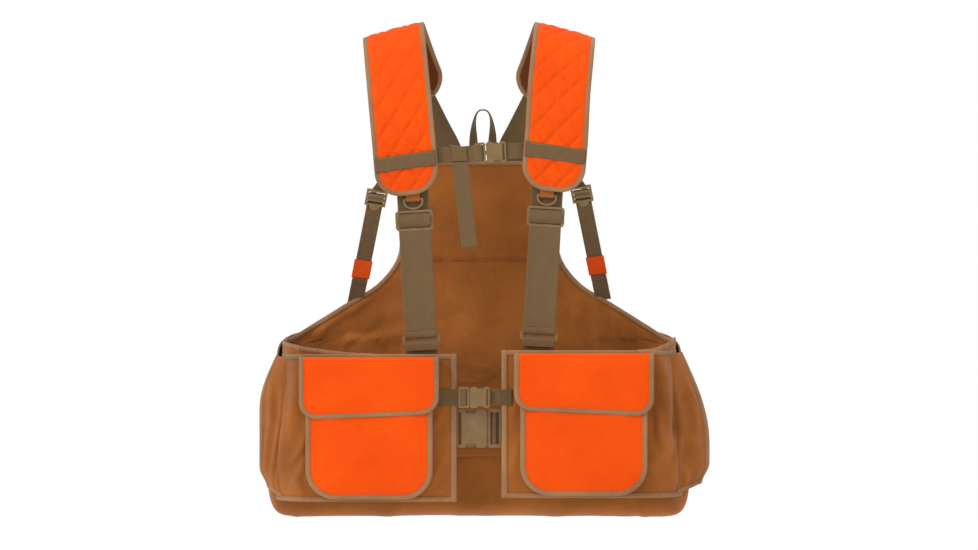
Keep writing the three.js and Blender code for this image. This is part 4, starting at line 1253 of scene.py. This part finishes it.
def makeBelly():
    upright = lambda share: Vector((0, 0, 1))
    put, _ = tilted(bellyStrap["centre"], 0)
    right, left = bellyStrap["reach"]
    onPanel = -bellyStrap["centre"][1] - body["front"] - 2.4
    route = [(right, onPanel), (-50, onPanel), (-24, onPanel - 1), (-18, 0.6), (-14, -2.8), (-10.5, -3.2),
             (-7, -2.8), (-4.6, 0.4)]
    strap("belly_strap_webbing_right", [put(x, y, 0) for x, y in route], upright, narrow, thin, "belly_plug",
          ["belly_strap_right"], steps=60)
    flat = surfaceOf(lambda s, t: put(s, onPanel, -t))
    for name, x, rides in zip(("left", "right"), bellyStrap["boxAt"], ("vest", "belly_plug")):
        boxStitch(f"belly_box_{name}", flat, (x, 0), 8, 9, 1.1, rides, brownThread)
    route = [(29.5, onPanel - 1.5), (34, onPanel - 0.5), (48, onPanel), (left, onPanel)]
    strap("belly_strap_webbing_left", [put(x, y, 0) for x, y in route], upright, narrow, thin, "vest",
          ["belly_strap_left"], steps=30)
    put, _ = tilted(waistBelt["centre"], 0)
    right, left = waistBelt["reach"]
    route = [(right, 0), (-110, 0), (-60, 0.6), (-49, 2.6), (-43.2, 2.2), (-43.0, -2.0), (-47, -2.6),
             (-56, -1.6)]
    strap("waist_belt_webbing_right", [put(x, y, 0) for x, y in route], upright, wide - 1, thin, "vest",
          ["waist_belt_right"], steps=70)
    route = [(left, 0), (80, 0), (30, 1.4), (20, 2.6), (15, -0.5), (11.5, -4.4), (8, -0.5), (6.6, 2.2)]
    strap("waist_belt_webbing_left", [put(x, y, 0) for x, y in route], upright, wide - 1, thin, "waist_plug",
          ["waist_belt_left"], steps=70)
    for name, radius in (("chest", 0.7), ("belly", 0.7), ("waist", 1.1)):
        for part in ("socket", "plug", "upper_arm", "lower_arm"):
            finishHardware(f"{name}_buckle_{part}", radius)


haulLoop = {"x": 6.0, "y": 77.0, "halfWidth": 17.5, "height": 84.0, "width": 15.0, "gauge": 1.8, "count": 24}


def makeHaulLoop():
    points = []
    directions = []
    count = haulLoop["count"]
    for step in range(count + 1):
        share = step / count
        rise = math.sin(math.pi * share)
        spread = math.copysign(abs(math.cos(math.pi * share)) ** 0.75, 0.5 - share)
        points.append((haulLoop["x"] - haulLoop["halfWidth"] * spread * (0.8 + 0.35 * rise), haulLoop["y"],
                       -body["yokeTop"] - 1 + haulLoop["height"] * rise ** 0.8))
        # the webbing faces front at its ends and turns edge-on at the top
        angle = math.pi / 2 * rise ** 2
        directions.append(Vector((math.cos(angle) * (1 if share <= 0.5 else -1), math.sin(angle), 0)))

    def across(share):
        spot = share * count
        low = min(int(spot), count - 1)
        return directions[low].lerp(directions[low + 1], spot - low)

    strap("haul_loop_webbing", points, across, haulLoop["width"], haulLoop["gauge"], "haul_loop",
          ["haul_loop"], steps=72)


for side in sides:
    makeFrontStrap(side)
    makeSideStrap(side)
    makeBackStrap(side)
makeChestStrap()
makeBelly()
makeHaulLoop()
print("harness made")

# stage, light and camera

scene.view_settings.view_transform = "Standard"

studio = {"floorDrop": 1.35, "floorHalf": 2.0, "distance": 6.0, "aim": (0.0157, 0, -0.388),
          "viewWidth": 1.535,
          "sky": "#ffffff", "skyStrength": 1.0}


def makeStudio():
    bm = bmesh.new()
    bmesh.ops.create_grid(bm, x_segments=1, y_segments=1, size=studio["floorHalf"])
    bmesh.ops.translate(bm, verts=bm.verts, vec=(0, 0, -studio["floorDrop"]))
    mesh = bpy.data.meshes.new("studio_floor")
    bm.to_mesh(mesh)
    bm.free()
    floor = bpy.data.objects.new("studio_floor", mesh)
    scene.collection.objects.link(floor)
    paper, _, shader = startMaterial("whitePaper")
    shader.inputs["Base Color"].default_value = linear("#f4f3f1")
    shader.inputs["Roughness"].default_value = 0.9
    mesh.materials.append(paper)

    world = bpy.data.worlds.new("softbox")
    scene.world = world
    world.use_nodes = True
    background = world.node_tree.nodes["Background"]
    background.inputs["Color"].default_value = linear(studio["sky"])
    background.inputs["Strength"].default_value = studio["skyStrength"]
    for name, place, size, power in (("key", (-2.6, -2.4, 1.8), 1.4, 80), ("fill", (2.6, -3.0, 0.4), 2.4, 8),
                                     ("top", (0.0, -0.8, 2.6), 1.6, 26), ("rim", (0.4, 3.0, 0.8), 2.0, 24)):
        lamp = bpy.data.lights.new(name, "AREA")
        lamp.shape = "SQUARE"
        lamp.size = size
        lamp.energy = power
        holder = bpy.data.objects.new(name, lamp)
        scene.collection.objects.link(holder)
        holder.location = place
        aim = Vector((0, 0, -0.4)) - Vector(place)
        holder.rotation_euler = aim.to_track_quat("-Z", "Y").to_euler()

    lens = bpy.data.cameras.new("camera")
    camera = bpy.data.objects.new("camera", lens)
    scene.collection.objects.link(camera)
    aim = Vector(studio["aim"])
    camera.location = aim + Vector((0, -studio["distance"], 0))
    camera.rotation_euler = (math.pi / 2, 0, 0)
    frontPlane = studio["distance"] - 0.08
    lens.sensor_width = 36
    lens.lens = lens.sensor_width * frontPlane / studio["viewWidth"]
    scene.camera = camera


makeStudio()
print("stage made")
